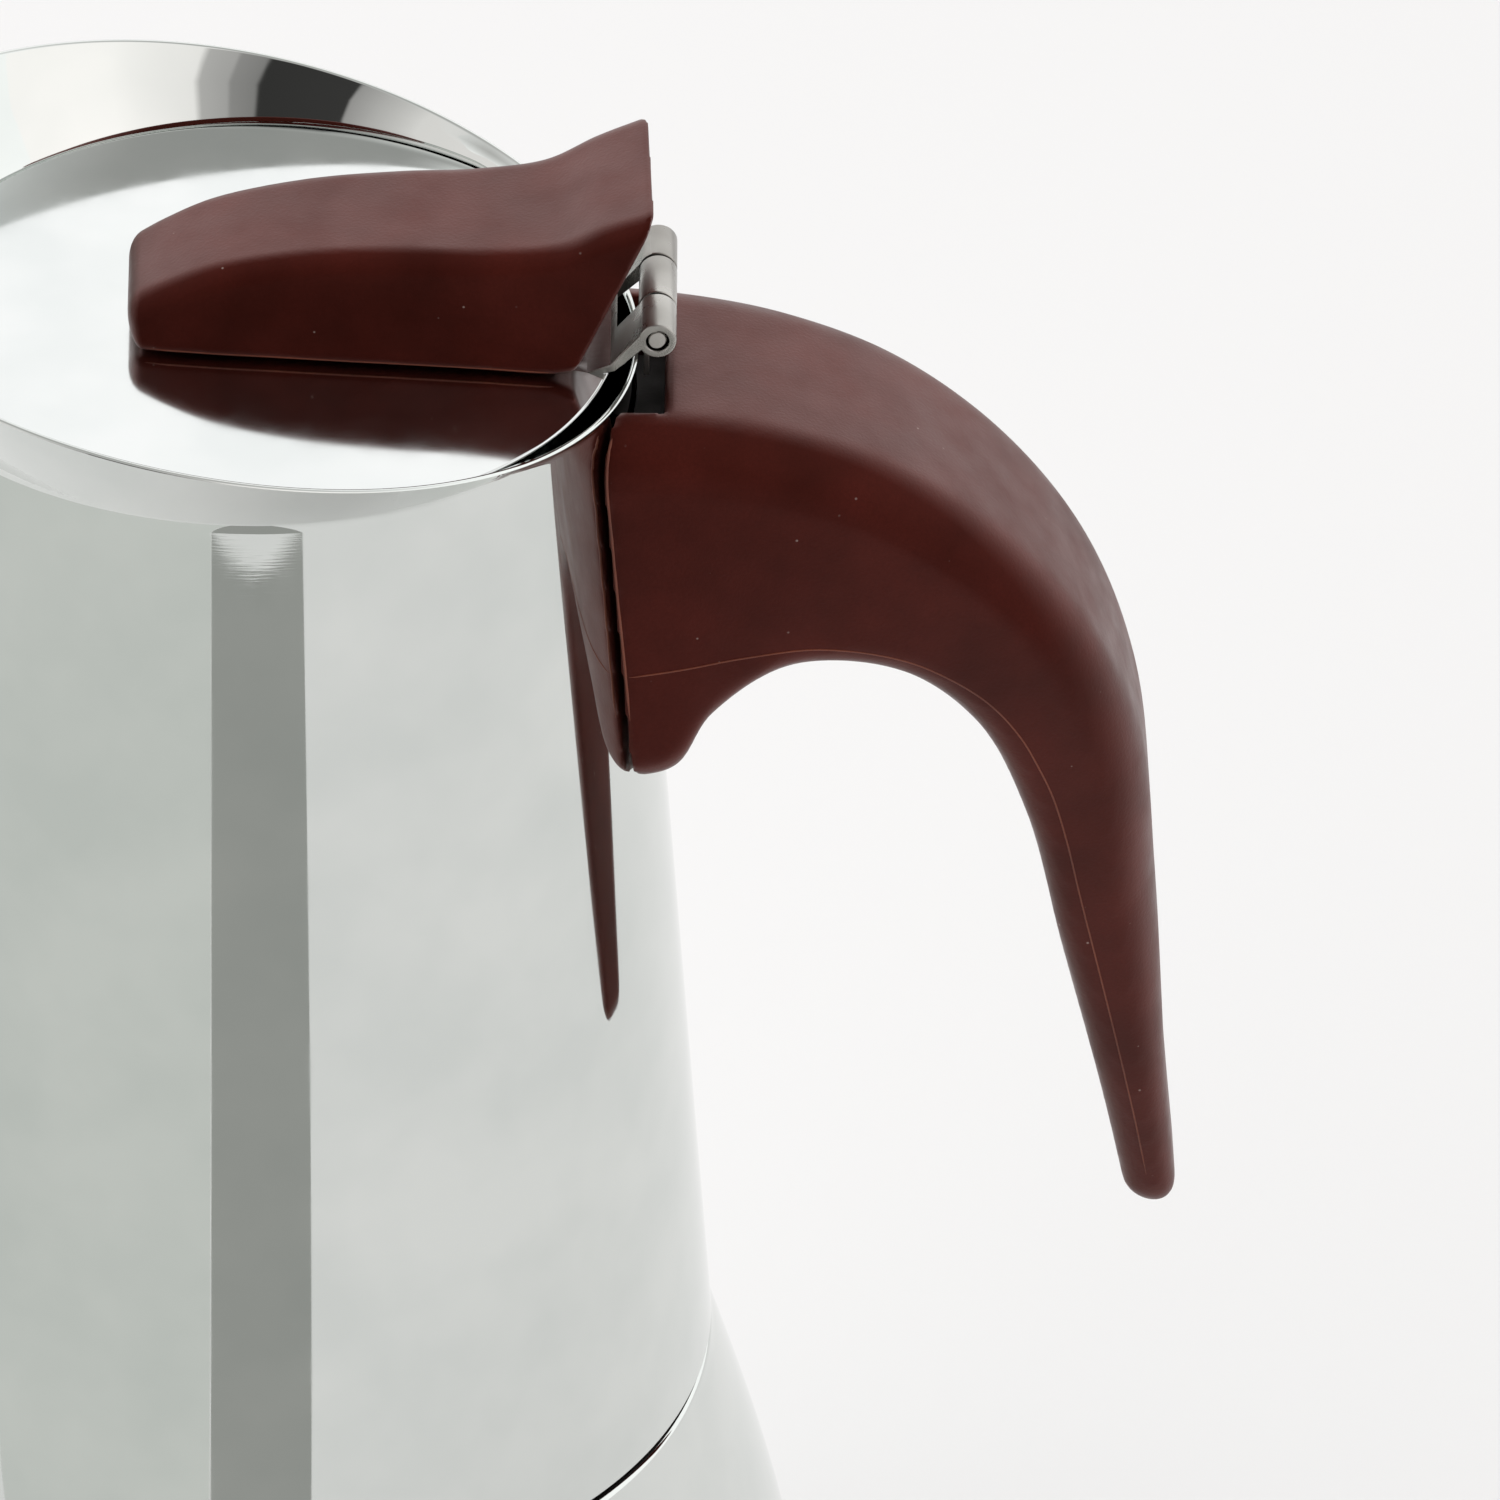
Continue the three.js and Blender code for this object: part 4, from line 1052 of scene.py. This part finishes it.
@dataclass(frozen=True)
class Bar:
    """A moulded bar between an outer and an inner curve."""

    outer: tuple[tuple[float, float], ...]
    inner: tuple[tuple[float, float], ...]
    half_top: tuple[float, float,
                    float]  # half width at the outer side: start, and its loss with s and s cubed
    half_bottom: tuple[float, float, float]
    corner_top: float
    corner_bottom: float
    start_round: float
    end_round: float

    @staticmethod
    def half(law: tuple[float, float, float], s: float) -> float:
        """A half width at one share of the length."""
        return law[0] - law[1] * s - law[2] * s**3

    def ring(self, s: float, inset: float) -> list[Vector]:
        """The bar's ring at one share of its length.

        Args:
            s: the share.
            inset: how far the ring is drawn in.

        Returns:
            The ring's points.
        """
        top, low = centripetal(list(self.outer), s), centripetal(list(self.inner), s)
        down = (low - top).normalized()
        top, low = top + down * inset, low - down * inset
        height = (top - low).length
        up = (top - low).normalized()
        half_top, half_low = self.half(self.half_top, s) - inset, self.half(self.half_bottom, s) - inset
        limit = min(height / 2, half_top, half_low) * 0.95
        round_top, round_low = min(self.corner_top, limit), min(self.corner_bottom, limit)
        widest = max(half_top, half_low)
        corners = arc((widest - round_low, round_low), round_low, -90, 0, 8)
        corners += arc((widest - round_top, height - round_top), round_top, 0, 90, 12)
        corners += arc((round_top - widest, height - round_top), round_top, 90, 180, 12)
        corners += arc((round_low - widest, round_low), round_low, 180, 270, 8)
        made = []
        for y, v in corners:
            half = half_low + (half_top - half_low) * v / height
            at = low + up * v
            made.append(Vector((at.x, y * half / widest, at.y)))
        return made

    def solid(self) -> Solid:
        """The bar with its rounded ends."""
        points = [[centripetal(list(c), i / 200) for i in range(201)] for c in (self.outer, self.inner)]
        length = sum((b - a).length for c in points for a, b in zip(c, c[1:])) / 2
        stations = []
        for degrees in range(4, 90, 8):
            angle = math.radians(degrees)
            along, inset = 1 - math.cos(angle), 1 - math.sin(angle)
            stations.append((self.start_round * along / length, self.start_round * inset))
            stations.append((1 - self.end_round * along / length, self.end_round * inset))
        first, last = self.start_round / length, 1 - self.end_round / length
        stations += [(first + (last - first) * i / 110, 0.0) for i in range(111)]
        return Solid.skinned([self.ring(s, inset) for s, inset in sorted(stations)])


@dataclass
class Grip(Assembly):
    """Shared work of the handle and the knob: soft moulded edges and the flash of the mould."""

    def mould(self, piece: bpy.types.Object, voxel: float, passes: int) -> bpy.types.Object:
        """Softens every edge of a moulded piece.

        Args:
            piece: the piece as cut.
            voxel: size of the new mesh's cells, in millimetres.
            passes: how often it is smoothed.

        Returns:
            The piece.
        """
        remesh = piece.modifiers.new("remesh", "REMESH")
        remesh.mode = "VOXEL"
        remesh.voxel_size = 1 * voxel * MM
        ease = piece.modifiers.new("ease", "SMOOTH")
        ease.factor = 0.5
        ease.iterations = passes
        return settle(piece)

    def flash(self, name: str, piece: bpy.types.Object, line: Outline, side: float, body: str,
              radius: float = 0.08) -> None:
        """Lays a bead of mould flash on a moulded piece's side.

        Args:
            name: the bead's name.
            piece: the moulded piece.
            line: x and z of the bead, in millimetres.
            side: y from which it is laid onto the piece.
            body: the CAD body that it rides on.
            radius: of the bead, in millimetres.
        """
        tree = BVHTree.FromObject(piece, bpy.context.evaluated_depsgraph_get())
        toward = Vector((0, -math.copysign(1, side), 0))
        spots = []
        steps = 12 * (len(line) - 1)
        for i in range(steps + 1):
            at = centripetal(line, i / steps)
            hit, normal = tree.ray_cast(Vector((at.x, side, at.y)) * MM, toward)[:2]
            if hit and abs(normal.y) > 0.3:
                spots.append(hit / MM)
        if len(spots) < 4:
            LOG.warning("%s finds no surface", name)
            return
        rings = []
        for i, spot in enumerate(spots):
            along = (spots[min(i + 1, len(spots) - 1)] - spots[max(i - 1, 0)]).normalized()
            out = Vector((0, 1, 0)).cross(along).normalized()
            third = along.cross(out)
            fade = min(1.0, 0.15 + min(i, len(spots) - 1 - i) / 5)
            ring = [spot + (out * math.cos(a) + third * math.sin(a)) * radius * fade
                    for a in (2 * math.pi * k / 8 for k in range(8))]
            rings.append(ring)
        bead = link(name, Solid.skinned(rings).mesh(name))
        self.show(bead, body, "flash", Finish.PLASTIC, angle=80)


@dataclass
class HandleAssembly(Grip):
    """The moulded handle with its bracket and screw."""

    bar: Bar = Bar(
        outer=((-6, -2.3), (3.2, -2.6), (13.5, -4.3), (23.8, -8.3), (33.5, -15.7),
               (41.1, -25.6), (45.9, -38), (48.1, -55), (50, -76), (51.96, -92.7)),
        inner=((-6, -39), (4.4, -38.3), (7.7, -32.7), (14.4, -27.7), (23.9, -28.5),
               (31, -34.5), (35.9, -45.2), (39.8, -61), (44.1, -78.2), (47.3, -92.7)),
        half_top=(14, 3, 6), half_bottom=(14, 3.5, 6), corner_top=5, corner_bottom=2.6,
        start_round=0.5, end_round=2.3,
    )
    parting: tuple[tuple[float, float], ...] = (
        (32, 81.6), (36.8, 82.4), (42.8, 83.5), (48.9, 84.1), (55.9, 82.8), (60.4, 80.5), (64, 77.6),
        (66.8, 73.9), (68.7, 70.1), (70, 66.9), (71.4, 62), (73, 55), (74.9, 47), (77, 38), (79, 29), (80.6,
                                                                                                       21),
    )

    @staticmethod
    def cone(clearance: float) -> Solid:
        """The collector's cone grown by a clearance, to cut with."""
        fall = (SIZE.bottom_radius - SIZE.bend_radius) / SIZE.bend_height
        low, high = SIZE.bottom_radius + 5 * fall + clearance, SIZE.bend_radius - 20 * fall + clearance
        base, top = SIZE.seat - 5, SIZE.seat + SIZE.bend_height + 20
        return Solid.turned([(0, base), (low, base), (high, top), (0, top)], 192)

    def build(self) -> None:
        """Makes the handle, and dresses the bracket and the screw."""
        shift = Matrix.Translation((SIZE.bend_radius, 0, SIZE.seat + SIZE.bend_height))
        solid = self.bar.solid().placed(shift)
        handle = link("handle_look", solid.mesh("handle_look"))
        top = SIZE.seat + SIZE.bend_height
        notch = [(19.8, top - 15), (35.03, top - 15), (35.03, top + 10), (19.8, top + 10)]
        low, high = (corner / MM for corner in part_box("handle_bracket"))
        # The pocket follows the bracket: its foot's length, its sheet and its foot's height, with clearances.
        foot_length, strap, foot_height = 5.5, 1.9, 2.8
        end, base, back = high.x + GAP, low.z - GAP, high.x - foot_length
        bracket = [(29, base), (end, base), (end, base + foot_height), (back + strap, base + foot_height),
                   (back + strap, high.z + GAP), (29, high.z + GAP)]
        combine(handle, [self.cone(GAP), Solid.slab(notch, -9.2, 9.2), Solid.slab(bracket, -5.3, 5.3)])
        screw_x, seat = back + 3.6, low.z - 2.4
        head, tip = 3.2, seat + 10.4
        bore = [(0, 130), (head, 130), (head, seat), (SCREW_HOLE, seat), (SCREW_HOLE, tip), (0, tip)]
        combine(handle, [Solid.turned(bore, 48).placed(Matrix.Translation((screw_x, 0, 0)))])
        self.mould(handle, voxel=0.4, passes=8)
        self.show(handle, "collector", "phenolic", Finish.PLASTIC, "handle", angle=40)
        lift = [(x, z + SIZE.seat) for x, z in self.parting]
        self.flash("handle_flash_near", handle, lift, NEAR_SIDE, "collector")
        self.flash("handle_flash_far", handle, lift, FAR_SIDE, "collector")
        edge = []
        for z, across in ((175.4, 12.2), (174.5, 13.0), (173, 13.6), (171, 13.9), (166, 13.9), (160, 13.9),
                          (154, 13.8), (147, 13.8)):
            lean = (SIZE.bottom_radius - SIZE.bend_radius) * (z - SIZE.seat) / SIZE.bend_height
            radius = SIZE.bottom_radius - lean
            edge.append((math.sqrt((radius + GAP) ** 2 - across**2) + 0.5, z))
        self.flash("handle_flash_edge", handle, edge, NEAR_SIDE, "collector", 0.13)
        # The bracket gets near-black steel: painted shade for the handle's notch that it sits in.
        for name, look in (("handle_bracket", "painted_shade"), ("handle_screw", "satin")):
            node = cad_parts[name]
            node.data.materials.clear()
            node.data.materials.append(self.finishes[look])


@dataclass
class LidAssembly(Grip):
    """The hinged lid with its knob, and the hinge's fixed pieces."""

    bar: Bar = Bar(
        outer=((-43.4, 4.9), (-40.2, 6.7), (-35.8, 8.6), (-27.8, 10.2), (-19.8, 10.7),
               (-12.8, 10.7), (-6.8, 11.4), (-2.5, 13.5), (2, 15.2)),
        inner=((-43, 0.6), (-40.2, 0.5), (-35.8, 0.4), (-29.8, 0.25), (-23.8, 0.1),
               (-17.8, 0), (-11.8, -0.2), (-7.3, -0.3), (-4.8, 0.3)),
        half_top=(6.2, -3.2, 0), half_bottom=(6.6, -3.4, 0), corner_top=2.2, corner_bottom=0.8,
        start_round=2, end_round=0.8,
    )
    sheet_thickness: float = 0.65
    bore: float = 1.0

    @property
    def pin_place(self) -> Matrix:
        """Where the pin lies; its own +Z runs along the hinge."""
        return Matrix.Translation((SIZE.pin_x, 0, SIZE.pin_z)) @ Matrix.Rotation(-math.pi / 2, 4, "X")

    @property
    def slope(self) -> Matrix:
        """Where the lid's top face lies."""
        return Matrix.Translation((0, 0, SIZE.lid_top)) @ Matrix.Rotation(math.atan(SIZE.lid_slope), 4, "Y")

    def drill(self) -> Solid:
        """A rod through the whole hinge, to bore it with."""
        return Solid.rod(self.bore, -12, 12, 64).placed(self.pin_place)

    def knuckle(self, near: float, far: float) -> Solid:
        """One turned knuckle of the hinge.

        Args:
            near: lower y.
            far: higher y.

        Returns:
            The ring about the pin.
        """
        outer = self.bore + self.sheet_thickness
        outline = soften([(self.bore, near), (outer, near), (outer, far), (self.bore, far)], 0.14, True)
        return Solid.turned(outline, 64).placed(self.pin_place)

    def lid_top_at(self, x: float) -> float:
        """Height of the lid's top face at one x."""
        return SIZE.lid_top - SIZE.lid_slope * x

    def build(self) -> None:
        """Makes the lid, its knob and screws, and the hinge."""
        flat = soften([(0, -0.6), (SIZE.lid_radius, -0.6), (SIZE.lid_radius, 0), (0, 0)], 0.22)
        lid = self.turned("lid_look", flat, self.slope)
        thick = self.sheet_thickness
        foot_x, knee_x = SIZE.bend_radius - 3.53, SIZE.bend_radius - 1.53
        foot, knee = self.lid_top_at(foot_x), self.lid_top_at(knee_x) + 0.9
        outer = self.bore + thick
        wrap = arc((SIZE.pin_x, SIZE.pin_z), outer, 160, 110, 8)
        leaf = [(foot_x - 1, foot - 0.1), (foot_x, foot), (knee_x, knee)] + wrap
        leaf += [(SIZE.pin_x, SIZE.pin_z + self.bore), (SIZE.pin_x - outer + 2 * thick, SIZE.pin_z)]
        leaf += [(knee_x + 0.4, knee - thick), (foot_x, foot - 0.55), (foot_x - 1, foot - 0.55)]
        window = [(knee_x + 0.5, knee - 3), (SIZE.pin_x + 3, knee - 3), (SIZE.pin_x + 3, 186),
                  (knee_x + 0.5, 186)]
        near, far = SIZE.middle_near - GAP, SIZE.middle_far + GAP
        combine(lid, [Solid.slab(leaf, SIZE.hinge_near, SIZE.hinge_far, 0.1)], "UNION")
        combine(lid, [Solid.slab(window, near, far)])
        combine(lid, [self.knuckle(SIZE.hinge_near, near), self.knuckle(far, SIZE.hinge_far)], "UNION")
        holes = [Solid.rod(SCREW_HOLE, -2, 2, 48).placed(
            Matrix.Translation((x, 0, self.lid_top_at(x)))) for x in SIZE.screw_xs]
        combine(lid, [self.drill(), *holes])
        self.show(lid, "lid", "lid", Finish.POLISHED, "lid", angle=36)
        self.patch(lid, "worn", lambda at: at.x > foot_x + 0.4 and at.z > self.lid_top_at(at.x) + 0.12)
        self.knob()
        self.hinge()

    def knob(self) -> None:
        """Makes the knob and its two screws."""
        middle = sum(SIZE.screw_xs) / 2
        turn = (Matrix.Translation((middle, 0, 0)) @ Matrix.Rotation(math.radians(2.2), 4, "Z")
                @ Matrix.Translation((-middle, 0, 0)))
        shift = Matrix.Translation((SIZE.bend_radius, 0, SIZE.lid_top))
        knob = link("knob_look", self.bar.solid().placed(turn @ shift).mesh("knob_look"))
        below = Solid.slab([(-60, -20), (60, -20), (60, 0.3), (-60, 0.3)], -20, 20)
        combine(knob, [below.placed(self.slope)])
        bores = [Solid.rod(SCREW_HOLE, -5, 7, 48).placed(
            Matrix.Translation((x, 0, self.lid_top_at(x) - 0.6))) for x in SIZE.screw_xs]
        combine(knob, bores)
        self.mould(knob, voxel=0.27, passes=3)
        self.show(knob, "lid", "phenolic", Finish.PLASTIC, "knob", angle=40)
        foot = [(x, self.lid_top_at(x) + 0.75) for x in (-9.6, -4.0, 3.0, 10.0, 17.0, 22.0, 25.6)]
        self.flash("knob_flash", knob, foot, NEAR_SIDE, "lid", 0.075)
        for number, x in enumerate(SIZE.screw_xs, 1):
            name = f"knob_screw_{number}"
            place = Matrix.Translation((x, 0, self.lid_top_at(x) - 0.9))
            screw = self.turned(name + "_look", screw_outline(6), place, 64)
            slot = Solid.slab([(-5, -3), (5, -3), (5, -1.0), (-5, -1.0)], -0.4, 0.4).placed(place)
            combine(screw, [slot])
            self.show(screw, "lid", "satin", Finish.SATIN, name)

    def hinge(self) -> None:
        """Makes the pin and the body's leaf."""
        middle = self.knuckle(SIZE.middle_near, SIZE.middle_far)
        leaf = link("hinge_leaf_look", middle.mesh("hinge_leaf_look"))
        tail_x = SIZE.pin_x - self.bore + 0.35
        tail = soften([(tail_x - 0.5, 175.5), (tail_x, 175.5), (tail_x, SIZE.pin_z),
                       (tail_x - 0.5, SIZE.pin_z)],
                      0.15, True)
        combine(leaf, [Solid.slab(tail, SIZE.middle_near, SIZE.middle_far, 0.1)], "UNION")
        combine(leaf, [self.drill()])
        self.show(leaf, "collector", "worn", Finish.SATIN, "hinge_leaf")
        # The pin is cut from wire: its near end is sheared at a slant.
        rings = []
        for y, r in ((-7.5, 0.7), (-7.4, 0.8), (8.7, 0.8), (8.8, 0.7)):
            ring = []
            for i in range(48):
                a = 2 * math.pi * i / 48
                shear = 0.16 * (1 + math.cos(a - 0.6)) if y < 0 else 0.0
                at = (SIZE.pin_x + r * math.cos(a), y + shear, SIZE.pin_z + r * math.sin(a))
                ring.append(Vector(at))
            rings.append(ring)
        pin = link("hinge_pin_look", Solid.skinned(rings).mesh("hinge_pin_look"))
        self.show(pin, "collector", "worn", Finish.SATIN, "hinge_pin")


# ---------------------------------------------------------------- studio


@dataclass
class Studio:
    """Pale floor, soft light and the camera."""

    eye: tuple[float, float, float] = (31.634, -656.140, 601.837)  # millimetres
    azimuth: float = -1.0165
    elevation: float = 35.4655
    roll: float = 1.4887
    lens: float = 216.0

    def build(self) -> None:
        """Sets the whole scene."""
        self.floor()
        self.card()
        self.world()
        self.light()
        self.camera()
        bpy.context.scene.view_settings.view_transform = "Standard"

    def emitter(self, name: str, radiance: float, tint: str = "#FFFFFF") -> bpy.types.Material:
        """An evenly lit card's material.

        Args:
            name: the material's name.
            radiance: how bright it is.
            tint: its colour.

        Returns:
            The material.
        """
        material = bpy.data.materials.new(name)
        material.use_nodes = True
        tree = material.node_tree
        tree.nodes.clear()
        glow = add_node(tree, "ShaderNodeEmission", {"Color": srgb(tint), "Strength": radiance})
        add_node(tree, "ShaderNodeOutputMaterial", {"Surface": glow.outputs[0]})
        return material

    def plane(self, name: str, corners: list[tuple[float, float, float]],
              material: bpy.types.Material) -> bpy.types.Object:
        """A flat stage piece.

        Args:
            name: its name.
            corners: in millimetres.
            material: its material.

        Returns:
            The object.
        """
        mesh = bpy.data.meshes.new(name)
        mesh.from_pydata([Vector(c) * MM for c in corners], [], [tuple(range(len(corners)))])
        made = link(name, mesh)
        mesh.materials.append(material)
        return made

    def floor(self) -> None:
        """The pale floor."""
        material, _, shader = new_material("Pale studio floor")
        shader.inputs["Base Color"].default_value = srgb("#E8E8E8")
        shader.inputs["Roughness"].default_value = 0.9
        shader.inputs["Specular IOR Level"].default_value = 0.0
        self.plane("floor", [(-3000, -3000, -0.2), (3000, -3000, -0.2), (3000, 3000, -0.2),
                             (-3000, 3000, -0.2)],
                   material)

    def card(self) -> None:
        """A grey card on the floor in front, seen only in the steel."""
        made = self.plane("card", [(-18, -95, 0.1), (10, -95, 0.1), (96, -390, 0.1), (-84, -390, 0.1)],
                          self.emitter("Grey card", 0.42, "#F6F7F2"))
        side = self.plane("side_card", [(-19, -95, 0.1), (-85, -390, 0.1), (-900, -900, 0.1),
                                        (-900, 60, 0.1)],
                          self.emitter("Pale side card", 0.74, "#FAFCF8"))
        for one in (made, side):
            one.visible_camera = False
            one.visible_diffuse = False
            one.visible_shadow = False

    def world(self) -> None:
        """Soft light from all round: white at the sides, greyer above and behind the camera."""
        world = bpy.data.worlds.new("Studio")
        bpy.context.scene.world = world
        world.use_nodes = True
        tree = world.node_tree
        tree.nodes.clear()
        way = add_node(tree, "ShaderNodeTexCoord").outputs["Generated"]
        up = add_node(tree, "ShaderNodeSeparateXYZ", {0: way}).outputs["Z"]
        high = add_node(tree, "ShaderNodeMapRange", {"Value": up, 1: 0.66, 2: 0.95}).outputs["Result"]
        sky = add_node(tree, "ShaderNodeMix", {0: high, 6: (1.3, 1.3, 1.3, 1), 7: (0.55, 0.54, 0.53, 1)},
                       data_type="RGBA").outputs[2]
        a, e = math.radians(self.azimuth), math.radians(36)
        back = (math.sin(a) * math.cos(e), -math.cos(a) * math.cos(e), math.sin(e))
        near = add_node(tree, "ShaderNodeVectorMath", {0: way, 1: back},
                        operation="DOT_PRODUCT").outputs["Value"]
        patch = add_node(tree, "ShaderNodeMapRange", {"Value": near, 1: 0.86, 2: 0.95}).outputs["Result"]
        dim = add_node(tree, "ShaderNodeMix", {0: patch, 6: sky, 7: (0.42, 0.4, 0.39, 1)},
                       data_type="RGBA").outputs[2]
        # What stands in front: grey curtains on both sides of a dark gap, told apart by their bearing.
        flat = add_node(tree, "ShaderNodeSeparateXYZ", {0: way}).outputs
        toward = add_node(tree, "ShaderNodeMath", {0: flat["Y"], 1: -1.0}, operation="MULTIPLY")
        kept = add_node(tree, "ShaderNodeMath", {0: toward.outputs[0], 1: 0.05}, operation="MAXIMUM")
        bearing = add_node(tree, "ShaderNodeMath", {0: flat["X"], 1: kept.outputs[0]},
                           operation="DIVIDE").outputs[0]
        front = add_node(tree, "ShaderNodeMath", {0: toward.outputs[0], 1: 0.25},
                         operation="GREATER_THAN").outputs[0]
        across = add_node(tree, "ShaderNodeMapRange", {"Value": bearing, 1: -1.0, 2: 1.0}).outputs["Result"]
        bands = add_node(tree, "ShaderNodeValToRGB", {"Fac": across})
        ramp = bands.color_ramp
        ramp.interpolation = "LINEAR"
        stops = ((0.0, 0.95), (0.2, 0.62), (0.295, 0.42), (0.305, 0.05), (0.53, 0.045), (0.54, 0.3),
                 (0.6, 0.36),
                 (0.61, 0.52), (0.68, 0.6), (0.7, 1.15), (1.0, 1.35))
        for i, (at, level) in enumerate(stops):
            stop = ramp.elements[i] if i < 2 else ramp.elements.new(at)
            stop.position = at
            stop.color = (level, 0.96 * level, 0.95 * level, 1)
        low = add_node(tree, "ShaderNodeMapRange",
                       {"Value": up, 1: 0.75, 2: 0.9, 3: 1.0, 4: 0.0}).outputs["Result"]
        share = add_node(tree, "ShaderNodeMath", {0: front, 1: low}, operation="MULTIPLY").outputs[0]
        colour = add_node(tree, "ShaderNodeMix", {0: share, 6: dim, 7: bands.outputs["Color"]},
                          data_type="RGBA").outputs[2]
        below = add_node(tree, "ShaderNodeMapRange",
                         {"Value": up, 1: -0.02, 2: 0.0, 3: 1.0, 4: 0.0}).outputs["Result"]
        whole = add_node(tree, "ShaderNodeMix", {0: below, 6: colour, 7: (0.85, 0.85, 0.85, 1)},
                         data_type="RGBA").outputs[2]
        glow = add_node(tree, "ShaderNodeBackground", {"Color": whole, "Strength": 1.0})
        add_node(tree, "ShaderNodeOutputWorld", {"Surface": glow.outputs[0]})

    def light(self) -> None:
        """A large soft key light from above and a little to the left."""
        lamp = bpy.data.lights.new("key", "AREA")
        lamp.shape = "DISK"
        lamp.size = 1.2
        lamp.energy = 6.0
        made = bpy.data.objects.new("key", lamp)
        bpy.context.scene.collection.objects.link(made)
        made.location = Vector((-350, 250, 1400)) * MM
        made.rotation_mode = "QUATERNION"
        made.rotation_quaternion = (Vector((0, 0, 0.1)) - made.location).to_track_quat("-Z", "Y")
        made.visible_glossy = False

    def camera(self) -> None:
        """The camera."""
        lens = bpy.data.cameras.new("camera")
        lens.lens = self.lens
        lens.sensor_width = 36.0
        lens.clip_start, lens.clip_end = 0.05, 20
        made = bpy.data.objects.new("camera", lens)
        bpy.context.scene.collection.objects.link(made)
        a, e, roll = (math.radians(v) for v in (self.azimuth, self.elevation, self.roll))
        back = Vector((math.sin(a) * math.cos(e), -math.cos(a) * math.cos(e), math.sin(e)))
        right = Vector((math.cos(a), math.sin(a), 0))
        up = back.cross(right)
        x = right * math.cos(roll) + up * math.sin(roll)
        y = up * math.cos(roll) - right * math.sin(roll)
        turn = Matrix((x, y, back)).transposed().to_4x4()
        made.matrix_world = Matrix.Translation(Vector(self.eye) * MM) @ turn
        bpy.context.scene.camera = made


def main() -> None:
    """Builds the pot and its studio."""
    logging.basicConfig(level=logging.INFO, format="%(name)s: %(message)s")
    finishes = make_finishes()
    helix, perforation = helix_tree(), perforation_tree()
    for kind in (Boiler, SafetyValve, BrewGroup, Collector, HandleAssembly, LidAssembly):
        kind(finishes, helix, perforation).build()
        LOG.info("%s is built", kind.__name__)
    Studio().build()


if __name__ == "__main__":
    main()
